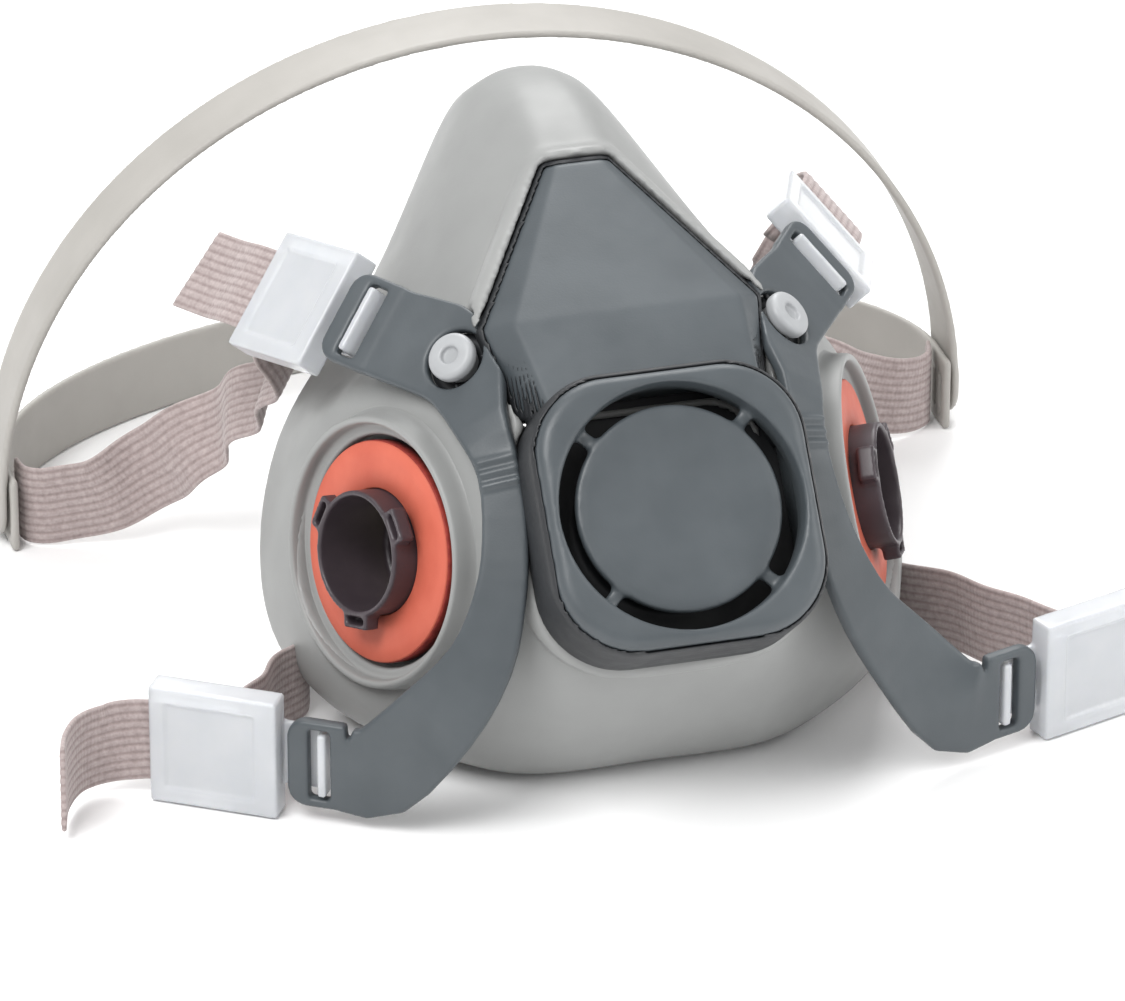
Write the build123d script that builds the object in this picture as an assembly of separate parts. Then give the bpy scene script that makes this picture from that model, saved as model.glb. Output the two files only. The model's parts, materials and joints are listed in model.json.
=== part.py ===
from build123d import *
import math
import os

os.makedirs("parts", exist_ok=True)

# A reusable half-face respirator with its harness, in millimetres. The mask is modelled upright, as it is worn:
# x across, forward away from the face, up towards the nose, from a point midway between the two filter ports.
# It is then laid back on its chin, which is how it rests on a table, and the harness lies round it.

# ---- Driving dimensions: the whole mask
RECLINE = 33.0            # degrees that the mask leans back when it rests on its chin
PORT_HEIGHT = 41.5        # height of the ports above the table
FACE_WIDTH = 121.0        # width across the cheeks at the sealing edge
NOSE_UP = 88.0            # top of the nose cup above the ports
FACE_BACK = 37.0          # depth of the sealing edge behind the ports
SEAL_WALL = 3.4           # wall of the soft moulding
LIP_TURN_IN = 10.0        # how far the sealing lip turns in over the face

# ---- Filter ports
PORT_INSET = 13.6         # from the widest point of the cheek in to the port's centre
PORT_TURN = 64.8          # degrees that a port faces away from straight ahead
BORE_RADIUS = 10.35
TUBE_WALL = 1.0
TUBE_PROUD = 3.6          # height of the bayonet tube above the lip's plane
LUG_REACH = 2.2
LUG_WIDTH = 6.4
LUG_HEIGHT = 3.4
LUG_WALL = 0.8           # wall of a lug round its open pocket
LUG_TURN = 45.0          # degrees from the top of a port to its first lug
GASKET_RADIUS = 20.0
GASKET_THICK = 3.0
GASKET_DROP = 1.5         # from the plane of the soft lip in to the gasket's face
LIP_GAP = 2.6             # between the gasket's edge and the soft lip round it
LIP_WALL = 1.5
BOWL_WALL = 7.0           # from the soft lip out to the edge of the cheek bowl
CHEEK_WALL = 5.5          # soft wall that the port is clamped to
SPOKE_WIDTH = 1.8
SPOKE_DEPTH = 2.6
SEAT_LEDGE = 0.7          # step in the bore at the spokes, which a filter's spigot stops at
SEAT_LEDGE_DEPTH = 3.0
FLAP_THICK = 0.8
PEG_RADIUS = 1.3           # peg that an inhalation flap slides on
FLAP_LIFT = 1.5           # how far an inhalation flap opens

# ---- Outlet and cowl
OUTLET_FORWARD = 41.6
OUTLET_UP = -2.2
OUTLET_TILT = 6.0
DISC_RADIUS = 18.65
OUTLET_GAP = 3.45         # open ring between the disc and the cowl
BOX_WIDTH = 48.8
BOX_HEIGHT = 49.0
BOX_CORNER = 14.0
BOX_DEPTH = 15.0
COWL_WALL = 2.2
BAR_WIDTH = 2.6
PANEL_TOP_UP = 64.4
PANEL_TOP_HALF = 5.9
PANEL_SIDE_HALF = 25.4
PANEL_SIDE_UP = 35.0
PANEL_DEPTH = 2.6
PANEL_GAP = 0.3           # between the panel and each yoke
SEAT_RADIUS = 14.0
SEAT_WALL = 2.0
OUTLET_LIFT = 1.6         # how far the exhalation flap opens

# ---- Yokes, studs and buckles
YOKE_THICK = 2.4
TIP_RADIUS = 3.6          # rounding of an arm's tip, seen from the front
TIP_STEP = 0.1            # how far an arm's tip stands proud of the arm, all round
STUD_RADIUS = 4.0
STUD_CLEARANCE = 1.7
WEB_WIDTH = 16.0
WEB_THICK = 1.2
SLOT_WIDTH = 4.0
TIP_BAR = 4.0             # bar of the yoke past its slot, which the buckle hooks round
TONGUE_MARGIN = 1.7       # each side, between the buckle's tongue and the webbing's edge
TIP_MARGIN = 1.6          # arm beside each end of the slot
BUCKLE_RIM = 3.6
BUCKLE_LENGTH = 24.0
BUCKLE_FRONT = 2.4        # the buckle's front face above the yoke's middle plane
BUCKLE_BACK = 3.0
BUCKLE_PLATE = 1.2
HOOK_REACH = 3.3          # how far the buckle's hook goes in past the slot's middle
HOOK_THICK = 1.6
HOOK_CLEARANCE = 0.35
HANG = 20.0               # degrees that an upper buckle hangs down from its arm
HANG_DROP = 1.4           # how far its hook then sits below the arm
WEB_BAR_RADIUS = 1.0

# ---- Harness
CRADLE_HALF = 92.5        # from the middle plane to the cradle's ends
CRADLE_Y = 100.5          # the cradle's ends behind the ports, on the table
CROWN_RISE = 87.0
REAR_BULGE = 52.0
BAND_WIDTH = 14.0
BAND_THICK = 1.6
FOLD_HEIGHT = 8.0         # height of the fold between the crown band and the rear band
FOLD_GAP = 0.4
CLIP_Y = 62.0
CLIP_PLATE = 2.4
CLIP_HALF = 17.0
CLIP_TRAVEL = 3.5
RUN_GAP = 3.0             # webbing left out between a buckle's own stretch and the run that follows it

# ---- Sizes that follow
HALF_FACE = FACE_WIDTH / 2
PORT_X = HALF_FACE - PORT_INSET
TUBE_RADIUS = BORE_RADIUS + TUBE_WALL
LIP_RADIUS = GASKET_RADIUS + LIP_GAP + LIP_WALL
BOWL_RADIUS = LIP_RADIUS + BOWL_WALL
RING_RADIUS = DISC_RADIUS + OUTLET_GAP
GASKET_FACE = -GASKET_DROP                      # the gasket's face, measured out from the lip's plane
FLANGE_FACE = GASKET_FACE - GASKET_THICK
FLANGE_THICK = 2.0
CHEEK_FACE = FLANGE_FACE - FLANGE_THICK
LOCK_FACE = CHEEK_FACE - CHEEK_WALL
LOCK_THICK = 1.8
SEAT_FACE = LOCK_FACE - LOCK_THICK - 0.8
SLOT_LENGTH = WEB_WIDTH - 2 * TONGUE_MARGIN + 1.4
ARM_WIDTH = SLOT_LENGTH + 2 * TIP_MARGIN
BUCKLE_HALF = WEB_WIDTH / 2 + BUCKLE_RIM
CLIP_HEIGHT = WEB_WIDTH + 4.0
BUCKLE_START = TIP_BAR + 1.6
BUCKLE_END = BUCKLE_START + BUCKLE_LENGTH
WEB_BAR_AT = BUCKLE_START + 6.0
WEB_BAR_DEPTH = -1.2
TIP_THICK = YOKE_THICK + 2 * TIP_STEP


def upright(x, forward, up):
    """A point or direction of the upright mask."""
    return Vector(x, -forward, up)


def laid_back(shape):
    """Lays an upright solid back on its chin, on the table."""
    return Pos(0, 0, PORT_HEIGHT) * Rot(-RECLINE, 0, 0) * shape


def laid_point(x, forward, up):
    """Where a point of the upright mask is once the mask is laid back."""
    lean = math.radians(RECLINE)
    y = -forward * math.cos(lean) + up * math.sin(lean)
    z = forward * math.sin(lean) + up * math.cos(lean) + PORT_HEIGHT
    return Vector(x, y, z)


def laid_direction(x, forward, up):
    """A direction of the upright mask once it is laid back."""
    return laid_point(x, forward, up) - laid_point(0, 0, 0)


def port_plane(side, out=0.0):
    """The plane of a port's soft lip, moved out along the port's axis. Its local X points up."""
    turn = math.radians(PORT_TURN)
    axis = upright(side * math.sin(turn), math.cos(turn), 0)
    return Plane(origin=upright(side * PORT_X, 0, 0) + axis * out, x_dir=upright(0, 0, 1), z_dir=axis)


def outlet_plane(out=0.0):
    """The plane of the cowl's disc, moved forward along the outlet's axis. Its local Y points up."""
    tilt = math.radians(OUTLET_TILT)
    axis = upright(0, math.cos(tilt), math.sin(tilt))
    return Plane(origin=upright(0, OUTLET_FORWARD, OUTLET_UP) + axis * out, x_dir=(1, 0, 0), z_dir=axis)


def disc(plane, radius, low, high):
    """A round disc or rod on a plane's axis, between two heights above the plane."""
    return plane.offset(low) * Cylinder(radius, high - low, align=(Align.CENTER, Align.CENTER, Align.MIN))


def ring(plane, outer, inner, low, high):
    """A flat ring on a plane's axis, between two heights above the plane."""
    return disc(plane, outer, low, high) - disc(plane, inner, low - 1, high + 1)


def block(plane, x_range, y_range, z_range):
    """A box given by its ranges along a plane's own axes."""
    size = [high - low for low, high in (x_range, y_range, z_range)]
    middle = [(high + low) / 2 for low, high in (x_range, y_range, z_range)]
    return plane * Pos(*middle) * Box(*size)


def strip(stations, thickness, ruled=True):
    """A flat strip through stations of (centre, direction across, width)."""
    centres = [Vector(*station[0]) for station in stations]
    faces = []
    for number, (_, across, width) in enumerate(stations):
        before = centres[max(number - 1, 0)]
        after = centres[min(number + 1, len(centres) - 1)]
        tangent = (after - before).normalized()
        across = Vector(*across)
        flat = (across - tangent * across.dot(tangent)).normalized()
        faces.append(Plane(origin=centres[number], x_dir=flat, z_dir=tangent) * Rectangle(width, thickness))
    return loft(faces, ruled=ruled)


# ---- Face seal
# Half outlines of the soft moulding, from its top middle to its bottom middle, as (across, up). Across is a share
# of half the face's width and up a share of the nose's height above the ports; downwards it is in millimetres.
OUTLINES = [
    (-FACE_BACK, [(0, 0.99), (0.22, 0.92), (0.52, 0.60), (0.88, 0.29), (1.0, -2), (0.88, -20), (0.5, -25), (0, -25.2)]),
    (-24.0, [(0, 0.985), (0.22, 0.905), (0.5, 0.60), (0.83, 0.29), (0.96, -4), (0.85, -26), (0.5, -33), (0, -33.4)]),
    (-9.0, [(0, 0.905), (0.20, 0.83), (0.45, 0.54), (0.70, 0.27), (0.81, -4), (0.74, -29), (0.45, -42), (0, -43.2)]),
    (6.0, [(0, 0.725), (0.16, 0.70), (0.38, 0.51), (0.54, 0.30), (0.63, -4), (0.58, -27), (0.36, -38), (0, -40.5)]),
    (20.0, [(0, 0.51), (0.20, 0.495), (0.41, 0.39), (0.46, 0.20), (0.48, -4), (0.44, -22), (0.28, -31), (0, -33)]),
    (27.0, [(0, 0.37), (0.20, 0.36), (0.36, 0.28), (0.41, 0.14), (0.42, -3), (0.39, -18), (0.25, -26), (0, -28)]),
]


def outline_face(forward, half, inset=0.0):
    """A closed smooth outline across the mask, drawn in by an inset towards its own middle."""
    right = [(x * HALF_FACE, up * NOSE_UP if 0 < up < 1 else up) for x, up in half]
    middle_up = (right[0][1] + right[-1][1]) / 2
    drawn = []
    for x, up in right:
        reach = math.hypot(x, up - middle_up)
        share = 1 - inset / reach
        drawn.append((x * share, middle_up + (up - middle_up) * share))
    loop = drawn + [(-x, up) for x, up in drawn[-2:0:-1]]
    curve = Spline([upright(x, forward, up) for x, up in loop], periodic=True)
    return make_face(curve)


def seal_body(inset, back, front):
    """The soft moulding's bulk, drawn in by an inset and kept between two depths."""
    faces = [outline_face(forward, half, inset) for forward, half in OUTLINES]
    bulk = loft(faces)
    keep = Pos(0, -(back + front) / 2, 20) * Box(4 * HALF_FACE, front - back, 6 * HALF_FACE)
    return bulk & keep


def table_block():
    """The space below the table, as the upright mask meets it."""
    slab = Box(400, 400, 60, align=(Align.CENTER, Align.CENTER, Align.MAX))
    return Rot(RECLINE, 0, 0) * Pos(0, 0, -PORT_HEIGHT) * slab


def face_seal(hard_parts):
    front_depth = OUTLINES[-1][0]
    body = seal_body(0, -FACE_BACK, front_depth)
    for side in (-1, 1):
        plane = port_plane(side)
        body += disc(plane, BOWL_RADIUS, LOCK_FACE - 8, CHEEK_FACE + 1.5)
        body += ring(plane, LIP_RADIUS, LIP_RADIUS - LIP_WALL, CHEEK_FACE + 1, 0)
    back_space = Pos(0, FACE_BACK + 30, 0) * Box(300, 60, 400)
    body -= back_space
    body -= table_block()
    body -= seal_body(SEAL_WALL * 1.15, -FACE_BACK + 2.0, front_depth - 5.0)
    opening = extrude(outline_face(-FACE_BACK, OUTLINES[0][1], LIP_TURN_IN), 8, both=True)
    body -= opening
    for side in (-1, 1):
        plane = port_plane(side)
        body -= disc(plane, BOWL_RADIUS - SEAL_WALL, LOCK_FACE - 22, LOCK_FACE)
        body -= disc(plane, GASKET_RADIUS + LIP_GAP, FLANGE_FACE, 5)
        body -= disc(plane, GASKET_RADIUS + 0.5, CHEEK_FACE, 5)
        body -= disc(plane, TUBE_RADIUS + 0.1, LOCK_FACE - 5, 5)
    body -= disc(outlet_plane(), SEAT_RADIUS + SEAT_WALL + 0.1, -32, 5)
    for part in hard_parts:
        body -= part
    return max(body.solids(), key=lambda solid: solid.volume)


# ---- Filter ports
def port(side):
    plane = port_plane(side)
    body = ring(plane, TUBE_RADIUS, BORE_RADIUS, SEAT_FACE, TUBE_PROUD)
    body += ring(plane, TUBE_RADIUS - 0.2, BORE_RADIUS - SEAT_LEDGE, SEAT_FACE, SEAT_FACE + SEAT_LEDGE_DEPTH)
    body += ring(plane, GASKET_RADIUS, BORE_RADIUS + 0.2, CHEEK_FACE, FLANGE_FACE)
    lug_end = TUBE_RADIUS + LUG_REACH
    pocket_width = LUG_WIDTH / 2 - LUG_WALL
    for number in range(3):
        turned = plane * Rot(0, 0, 120 * number - side * LUG_TURN)
        lug_range = (BORE_RADIUS + 0.4, lug_end)
        lug_heights = (TUBE_PROUD - LUG_HEIGHT, TUBE_PROUD)
        pocket_range = (TUBE_RADIUS + 0.1, lug_end - LUG_WALL)
        pocket_heights = (TUBE_PROUD - LUG_HEIGHT + LUG_WALL, TUBE_PROUD + 1)
        body += block(turned, lug_range, (-LUG_WIDTH / 2, LUG_WIDTH / 2), lug_heights)
        body -= block(turned, pocket_range, (-pocket_width, pocket_width), pocket_heights)
        spoke_heights = (SEAT_FACE, SEAT_FACE + SPOKE_DEPTH)
        body += block(turned, (0, BORE_RADIUS + 0.3), (-SPOKE_WIDTH / 2, SPOKE_WIDTH / 2), spoke_heights)
    body += disc(plane, PEG_RADIUS + 1.1, SEAT_FACE, SEAT_FACE + SPOKE_DEPTH)
    peg_end = SEAT_FACE - FLAP_THICK - FLAP_LIFT - 1.2
    body += disc(plane, PEG_RADIUS, peg_end, SEAT_FACE + 1)
    body += disc(plane, PEG_RADIUS + 1, peg_end - 0.8, peg_end)
    return body


def lock_ring(side):
    plane = port_plane(side)
    return ring(plane, TUBE_RADIUS + 4.5, TUBE_RADIUS, LOCK_FACE - LOCK_THICK, LOCK_FACE)


def gasket(side):
    return ring(port_plane(side), GASKET_RADIUS, TUBE_RADIUS + 0.1, FLANGE_FACE, GASKET_FACE)


def inhalation_flap(side):
    plane = port_plane(side)
    return ring(plane, TUBE_RADIUS + 0.8, PEG_RADIUS + 0.4, SEAT_FACE - 0.1 - FLAP_THICK, SEAT_FACE - 0.1)


# ---- Cowl, centre body and exhalation flap
def box_outline(grow=0.0):
    return RectangleRounded(BOX_WIDTH + 2 * grow, BOX_HEIGHT + 2 * grow, BOX_CORNER + grow)


# The panel's rows, from its top edge down to the box: up, half width, forward of the side edge, half width and
# forward of the wide middle facet.
PANEL_ROWS = [
    (PANEL_TOP_UP, PANEL_TOP_HALF, 5.5, PANEL_TOP_HALF - 1.6, 7.2),
    (PANEL_SIDE_UP, PANEL_SIDE_HALF, 21.5, PANEL_SIDE_HALF - 4.6, 26.2),
    (BOX_HEIGHT / 2 + OUTLET_UP - 4.0, BOX_WIDTH / 2 - 2.2, 27.5, BOX_WIDTH / 2 - 5.0, 36.5),
]


def panel_row(row, grow=0.0, back=PANEL_DEPTH):
    """A cross-section of the panel at one height, seen from above."""
    up, outer, outer_forward, inner, inner_forward = row
    outer += grow
    inner += grow
    crown = upright(0, inner_forward + inner * 0.12, up)
    left_bend = upright(-inner, inner_forward, up)
    right_bend = upright(inner, inner_forward, up)
    left = upright(-outer, outer_forward, up)
    right = upright(outer, outer_forward, up)
    right_back = upright(outer, outer_forward - back, up)
    left_back = upright(-outer, outer_forward - back, up)
    front = ThreePointArc(left_bend, crown, right_bend)
    rest = Polyline(right_bend, right, right_back, left_back, left, left_bend)
    return make_face([front, rest])


def panel_space():
    """The panel's outline with its clearance, from well behind it to well in front."""
    rows = [panel_row(row, PANEL_GAP, PANEL_DEPTH + 24) for row in PANEL_ROWS]
    return Pos(0, -12, 0) * loft(rows, ruled=True)


def front_cowl():
    plane = outlet_plane()
    panel = loft([panel_row(row) for row in PANEL_ROWS], ruled=True)
    box = extrude(plane.offset(-BOX_DEPTH + 3.0) * box_outline(), BOX_DEPTH)
    box = fillet(box.faces().sort_by(Axis(plane.origin, plane.z_dir))[-1].edges(), 2.4)
    room = extrude(plane.offset(-BOX_DEPTH) * box_outline(-COWL_WALL), BOX_DEPTH - 1.5)
    behind = extrude(plane.offset(-BOX_DEPTH - 20) * box_outline(0.3), 20 + 3.0 - 0.2)
    body = panel + box
    body -= room
    body -= behind
    body -= disc(plane, RING_RADIUS, -5, 10)
    grille = disc(plane, DISC_RADIUS, -2.2, 0.3)
    for number in range(4):
        turned = plane * Rot(0, 0, 45 + 90 * number)
        bar = Pos((DISC_RADIUS + RING_RADIUS) / 2, 0, -1.4)
        grille += turned * bar * Box(OUTLET_GAP + 2.4, BAR_WIDTH, 1.6)
    return body + grille


def centre_body():
    """The hard body behind the cowl: its edge shows round the cowl, and it carries the outlet's seat."""
    plane = outlet_plane()
    floor = -BOX_DEPTH + 2.6
    plate = extrude(plane.offset(floor - 3.0) * box_outline(-0.5), 3.0)
    body = plate - disc(plane, SEAT_RADIUS, floor - 10, floor + 10)
    body += ring(plane, SEAT_RADIUS + SEAT_WALL, SEAT_RADIUS, floor - 9, -7.0)
    for number in range(3):
        turned = plane * Rot(0, 0, 90 + 120 * number)
        spoke = Pos(SEAT_RADIUS / 2 + 1.4, 0, -8.2)
        body += turned * spoke * Box(SEAT_RADIUS - 1.6, SPOKE_WIDTH, 2.4)
    body += ring(plane, 3.6, 1.9, -9.4, -7.0)
    return body


def exhalation_flap():
    plane = outlet_plane()
    body = disc(plane, SEAT_RADIUS + SEAT_WALL - 0.4, -6.9, -5.9)
    body += disc(plane, 1.6, -12.0, -6.0)
    body += Plane(plane.offset(-12.2).origin, x_dir=(1, 0, 0), z_dir=plane.z_dir) * Sphere(1.8)
    return body


# ---- Yokes
# Each lower arm, by side: its slot's place on the table and the direction that it points in. The left arm lies
# bent a little further back than the right one.
LOWER_ARMS = {-1: ((-61.8, -20.9), (-0.84, 0.54)), 1: ((63.8, -29.2), (0.95, 0.31))}


def yoke_stations(side):
    """Centre, outward normal and width of the yoke, from its upper tip to its lower tip, laid back."""
    slot, along, normal = upper_arm(side)
    lower_slot, lower_along, lower_normal = lower_arm(side)
    stations = [
        (slot - along * 4.0, normal, ARM_WIDTH),
        (slot - along * 8.0, normal, ARM_WIDTH),
        (stud_centre(side), normal, ARM_WIDTH + 0.6),
        (laid_point(side * 29.4, 25.6, 18.5), laid_direction(side * 0.6, 0.78, 0.16), 10.6),
        (laid_point(side * 28.2, 28.6, 9.0), laid_direction(side * 0.36, 0.92, 0.06), 7.8),
        (laid_point(side * 29.0, 29.0, -3.0), laid_direction(side * 0.3, 0.95, -0.05), 8.2),
        (laid_point(side * 31.2, 28.0, -13.0), laid_direction(side * 0.34, 0.92, -0.1), 9.4),
        (laid_point(side * 35.6, 24.6, -23.5), laid_direction(side * 0.44, 0.87, -0.18), 12.0),
        (laid_point(side * 43.0, 17.8, -32.0), laid_direction(side * 0.5, 0.8, -0.3), ARM_WIDTH - 2),
        (lower_slot - lower_along * 11.0, lower_normal, ARM_WIDTH),
        (lower_slot - lower_along * 4.0, lower_normal, ARM_WIDTH),
    ]
    return stations


def stud_centre(side):
    """The middle of the yoke's slab at the stud."""
    return laid_point(side * (PORT_X - 17.0), 16.9, 30.5)


def upper_arm(side):
    """Slot centre, direction out along the arm and outward normal of the upper arm."""
    along = laid_direction(side * 0.556, -0.685, 0.466).normalized()
    normal = laid_direction(side * 0.59, 0.74, 0.36)
    normal = (normal - along * normal.dot(along)).normalized()
    return stud_centre(side) + along * 22.1, along, normal


def lower_arm(side):
    """Slot centre, direction out along the arm and outward normal of the lower arm, which stands on the table."""
    place, along = LOWER_ARMS[side]
    along = Vector(*along, 0).normalized()
    normal = Vector(side * along.Y, -side * along.X, 0)
    return Vector(*place, BUCKLE_HALF + 0.3), along, normal


def hung(arm):
    """An arm's axes as a buckle takes them up that hangs down from the arm's tip."""
    slot, along, normal = arm
    hinge = buckle_hinge(arm)
    turn = math.radians(HANG)
    hung_along = along * math.cos(turn) - normal * math.sin(turn)
    hung_normal = normal * math.cos(turn) + along * math.sin(turn)
    offset = slot - hinge
    place = hung_along * offset.dot(along) + hung_normal * offset.dot(normal)
    return hinge + place - normal * HANG_DROP, hung_along, hung_normal


def arm_plane(arm):
    """An arm's own axes, from the inner edge of its tip bar: X along the arm, Z along its outward normal."""
    slot, along, normal = arm
    return Plane(origin=slot + along * (SLOT_WIDTH / 2), x_dir=along, z_dir=normal)


def smoothed(stations, steps):
    """Stations with more of them between, on a curve through the first ones."""
    result = []
    last = len(stations) - 1
    for number in range(last):
        around = [stations[min(max(number + shift, 0), last)] for shift in (-1, 0, 1, 2)]
        for step in range(steps):
            t = step / steps
            weights = (
                (-t + 2 * t**2 - t**3) / 2,
                (2 - 5 * t**2 + 3 * t**3) / 2,
                (t + 4 * t**2 - 3 * t**3) / 2,
                (-t**2 + t**3) / 2,
            )
            centre, normal, width = Vector(0, 0, 0), Vector(0, 0, 0), 0.0
            for weight, station in zip(weights, around):
                centre += station[0] * weight
                normal += station[1] * weight
                width += station[2] * weight
            result.append((centre, normal.normalized(), width))
    return result + [stations[-1]]


def yoke(side):
    stations = yoke_stations(side)
    dense = smoothed(stations, 3)
    rows = []
    for number, (centre, normal, width) in enumerate(dense):
        before = dense[max(number - 1, 0)][0]
        after = dense[min(number + 1, len(dense) - 1)][0]
        tangent = (after - before).normalized()
        rows.append((centre, tangent.cross(normal), width))
    body = strip(rows, YOKE_THICK)
    for arm in (upper_arm(side), lower_arm(side)):
        plane = arm_plane(arm)
        end = SLOT_WIDTH + 3.0
        outline = Pos((TIP_BAR - end) / 2, 0) * Rectangle(TIP_BAR + end, ARM_WIDTH + 2 * TIP_STEP)
        tip = extrude(plane.offset(-TIP_THICK / 2) * outline, TIP_THICK)
        corners = tip.edges().filter_by(lambda edge: abs(edge.length - TIP_THICK) < 0.01)
        body += fillet(corners.sort_by(Axis(plane.origin, plane.x_dir))[-2:], TIP_RADIUS)
        body -= block(plane, (-SLOT_WIDTH, 0), (-SLOT_LENGTH / 2, SLOT_LENGTH / 2), (-6, 6))
    body -= laid_back(panel_space())
    _, along, normal = upper_arm(side)
    stud_axis = Plane(origin=stud_centre(side), x_dir=along, z_dir=normal)
    body -= disc(stud_axis, STUD_RADIUS + STUD_CLEARANCE, -6, 6)
    rib_at, rib_normal, _ = stations[4]
    down = (stations[5][0] - stations[3][0]).normalized()
    rib_normal = (rib_normal - down * rib_normal.dot(down)).normalized()
    rib_plane = Plane(origin=rib_at, x_dir=down, z_dir=rib_normal)
    for number in range(3):
        body += block(rib_plane, (2.2 * number - 2.7, 2.2 * number - 1.7), (-3.9, 3.9), (0, YOKE_THICK / 2 + 0.7))
    return body


def stud(side):
    _, along, normal = upper_arm(side)
    plane = Plane(origin=stud_centre(side), x_dir=along, z_dir=normal)
    head = disc(plane, STUD_RADIUS + 0.5, YOKE_THICK / 2 - 0.8, YOKE_THICK / 2 + 2.2)
    head = fillet(head.edges(), 1.1)
    body = head + disc(plane, STUD_RADIUS - 0.6, -YOKE_THICK / 2 - 2.5, YOKE_THICK / 2)
    dimple = disc(plane, 1.7, YOKE_THICK / 2 + 1.2, YOKE_THICK / 2 + 4)
    return body - dimple


# ---- Buckles
def buckle(arm):
    plane = arm_plane(arm)
    half = BUCKLE_HALF
    frame = block(plane, (BUCKLE_START, BUCKLE_END), (-half, half), (-BUCKLE_BACK, BUCKLE_FRONT))
    window = WEB_WIDTH / 2 + 0.6
    plate_under = BUCKLE_FRONT - BUCKLE_PLATE
    frame -= block(plane, (BUCKLE_START + 2.4, BUCKLE_END + 5), (-window, window), (-9, plate_under))
    panel_room = (BUCKLE_FRONT - 0.5, BUCKLE_FRONT + 3)
    frame -= block(plane, (BUCKLE_START + 4.2, BUCKLE_END - 3), (3 - half, half - 3), panel_room)
    rod = Pos(WEB_BAR_AT, 0, WEB_BAR_DEPTH) * Rot(90, 0, 0) * Cylinder(WEB_BAR_RADIUS, 2 * window + 1)
    frame += plane * rod
    tongue_half = WEB_WIDTH / 2 - TONGUE_MARGIN
    under = -TIP_THICK / 2 - HOOK_CLEARANCE
    tongue = block(plane, (-HOOK_REACH, BUCKLE_START + 3), (-tongue_half, tongue_half), (under - 1.5, under))
    lip = block(plane, (-HOOK_REACH, HOOK_THICK - HOOK_REACH), (-tongue_half, tongue_half), (under - 1.5, TIP_THICK / 2 + 0.2))
    return frame + tongue + lip


def buckle_hinge(arm):
    """A point on the line that a buckle swings about, at the tip of its arm."""
    slot, along, normal = arm
    return slot + along * (SLOT_WIDTH / 2 + TIP_BAR) - normal * (TIP_THICK / 2 + 0.15)


def front_strand(arm):
    """Middle of the webbing's front strand where it leaves the buckle."""
    slot, along, normal = arm
    depth = WEB_BAR_DEPTH + WEB_BAR_RADIUS + 0.05 + WEB_THICK / 2
    return slot + along * (SLOT_WIDTH / 2 + BUCKLE_END) + normal * depth


def back_strand(arm):
    """Middle of the webbing's back strand where it leaves the buckle."""
    slot, along, normal = arm
    depth = WEB_BAR_DEPTH - WEB_BAR_RADIUS - 0.05 - WEB_THICK / 2
    return slot + along * (SLOT_WIDTH / 2 + BUCKLE_END) + normal * depth


def webbing_tail(arm, beyond):
    """The webbing in a buckle, folded round its bar, and the loose tail past it."""
    _, along, normal = arm
    plane = arm_plane(arm)
    half = WEB_WIDTH / 2
    inner = WEB_BAR_RADIUS + 0.05
    outer = inner + WEB_THICK
    bar_axis = plane * Pos(WEB_BAR_AT, 0, WEB_BAR_DEPTH) * Rot(90, 0, 0)
    bend = bar_axis * (Cylinder(outer, WEB_WIDTH) - Cylinder(inner, WEB_WIDTH + 2))
    bend -= block(plane, (WEB_BAR_AT, WEB_BAR_AT + 9), (-half - 1, half + 1), (-9, 9))
    front = block(plane, (WEB_BAR_AT, BUCKLE_END), (-half, half), (WEB_BAR_DEPTH + inner, WEB_BAR_DEPTH + outer))
    back = block(plane, (WEB_BAR_AT, BUCKLE_END + 2), (-half, half), (WEB_BAR_DEPTH - outer, WEB_BAR_DEPTH - inner))
    across = normal.cross(along)
    start = front_strand(arm)
    stations = [(start - along * 0.2, across, WEB_WIDTH), (start + along * 1.5, across, WEB_WIDTH)]
    stations += [(point, direction, WEB_WIDTH) for point, direction in beyond]
    return bend + front + back + strip(stations, WEB_THICK)


def upper_tail_route(side):
    _, along, normal = hung(upper_arm(side))
    across = normal.cross(along)
    start = front_strand(hung(upper_arm(side)))
    return [(start + along * 5 + normal * 1.6, across), (start + along * 11 + normal * 4.0, across)]


def lower_tail_route(side):
    start = front_strand(lower_arm(side))
    upward = Vector(0, 0, 1)
    steps = [(7, 2.4), (12, 0.6), (16, -5.0), (19, -12.0)]
    return [(start + Vector(side * out, back, 0), upward) for out, back in steps]


# ---- Webbing runs
def upper_run(side):
    """From an upper buckle down to the table and to the cradle's end."""
    arm = hung(upper_arm(side))
    _, along, normal = arm
    start = back_strand(arm) + along * (2 + RUN_GAP)
    across = normal.cross(along) * side
    end = Vector(side * (CRADLE_HALF - BAND_THICK / 2 - 0.3 - WEB_THICK / 2), CRADLE_Y - 5, WEB_WIDTH / 2 + 0.5)
    upward = Vector(0, 0, 1)
    floor_turn = Vector(end.X - side * 10, end.Y - 18, end.Z)
    stations = [
        (start, across, WEB_WIDTH),
        (start + along * 8 + Vector(0, 0, -3), across, WEB_WIDTH),
        (start + along * 13 + Vector(0, 0, -16), across + upward * 0.1, WEB_WIDTH),
        (start * 0.5 + floor_turn * 0.5 + Vector(side * 3, 8, 0), across + upward * 0.6, WEB_WIDTH),
        (start * 0.15 + floor_turn * 0.85 + Vector(side * 1, 4, 0), upward, WEB_WIDTH),
        (floor_turn + Vector(side * 3, 8, 0), upward, WEB_WIDTH),
        (end - Vector(0, 5, 0), upward, WEB_WIDTH),
        (end, upward, WEB_WIDTH),
    ]
    return strip(stations, WEB_THICK)


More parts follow.
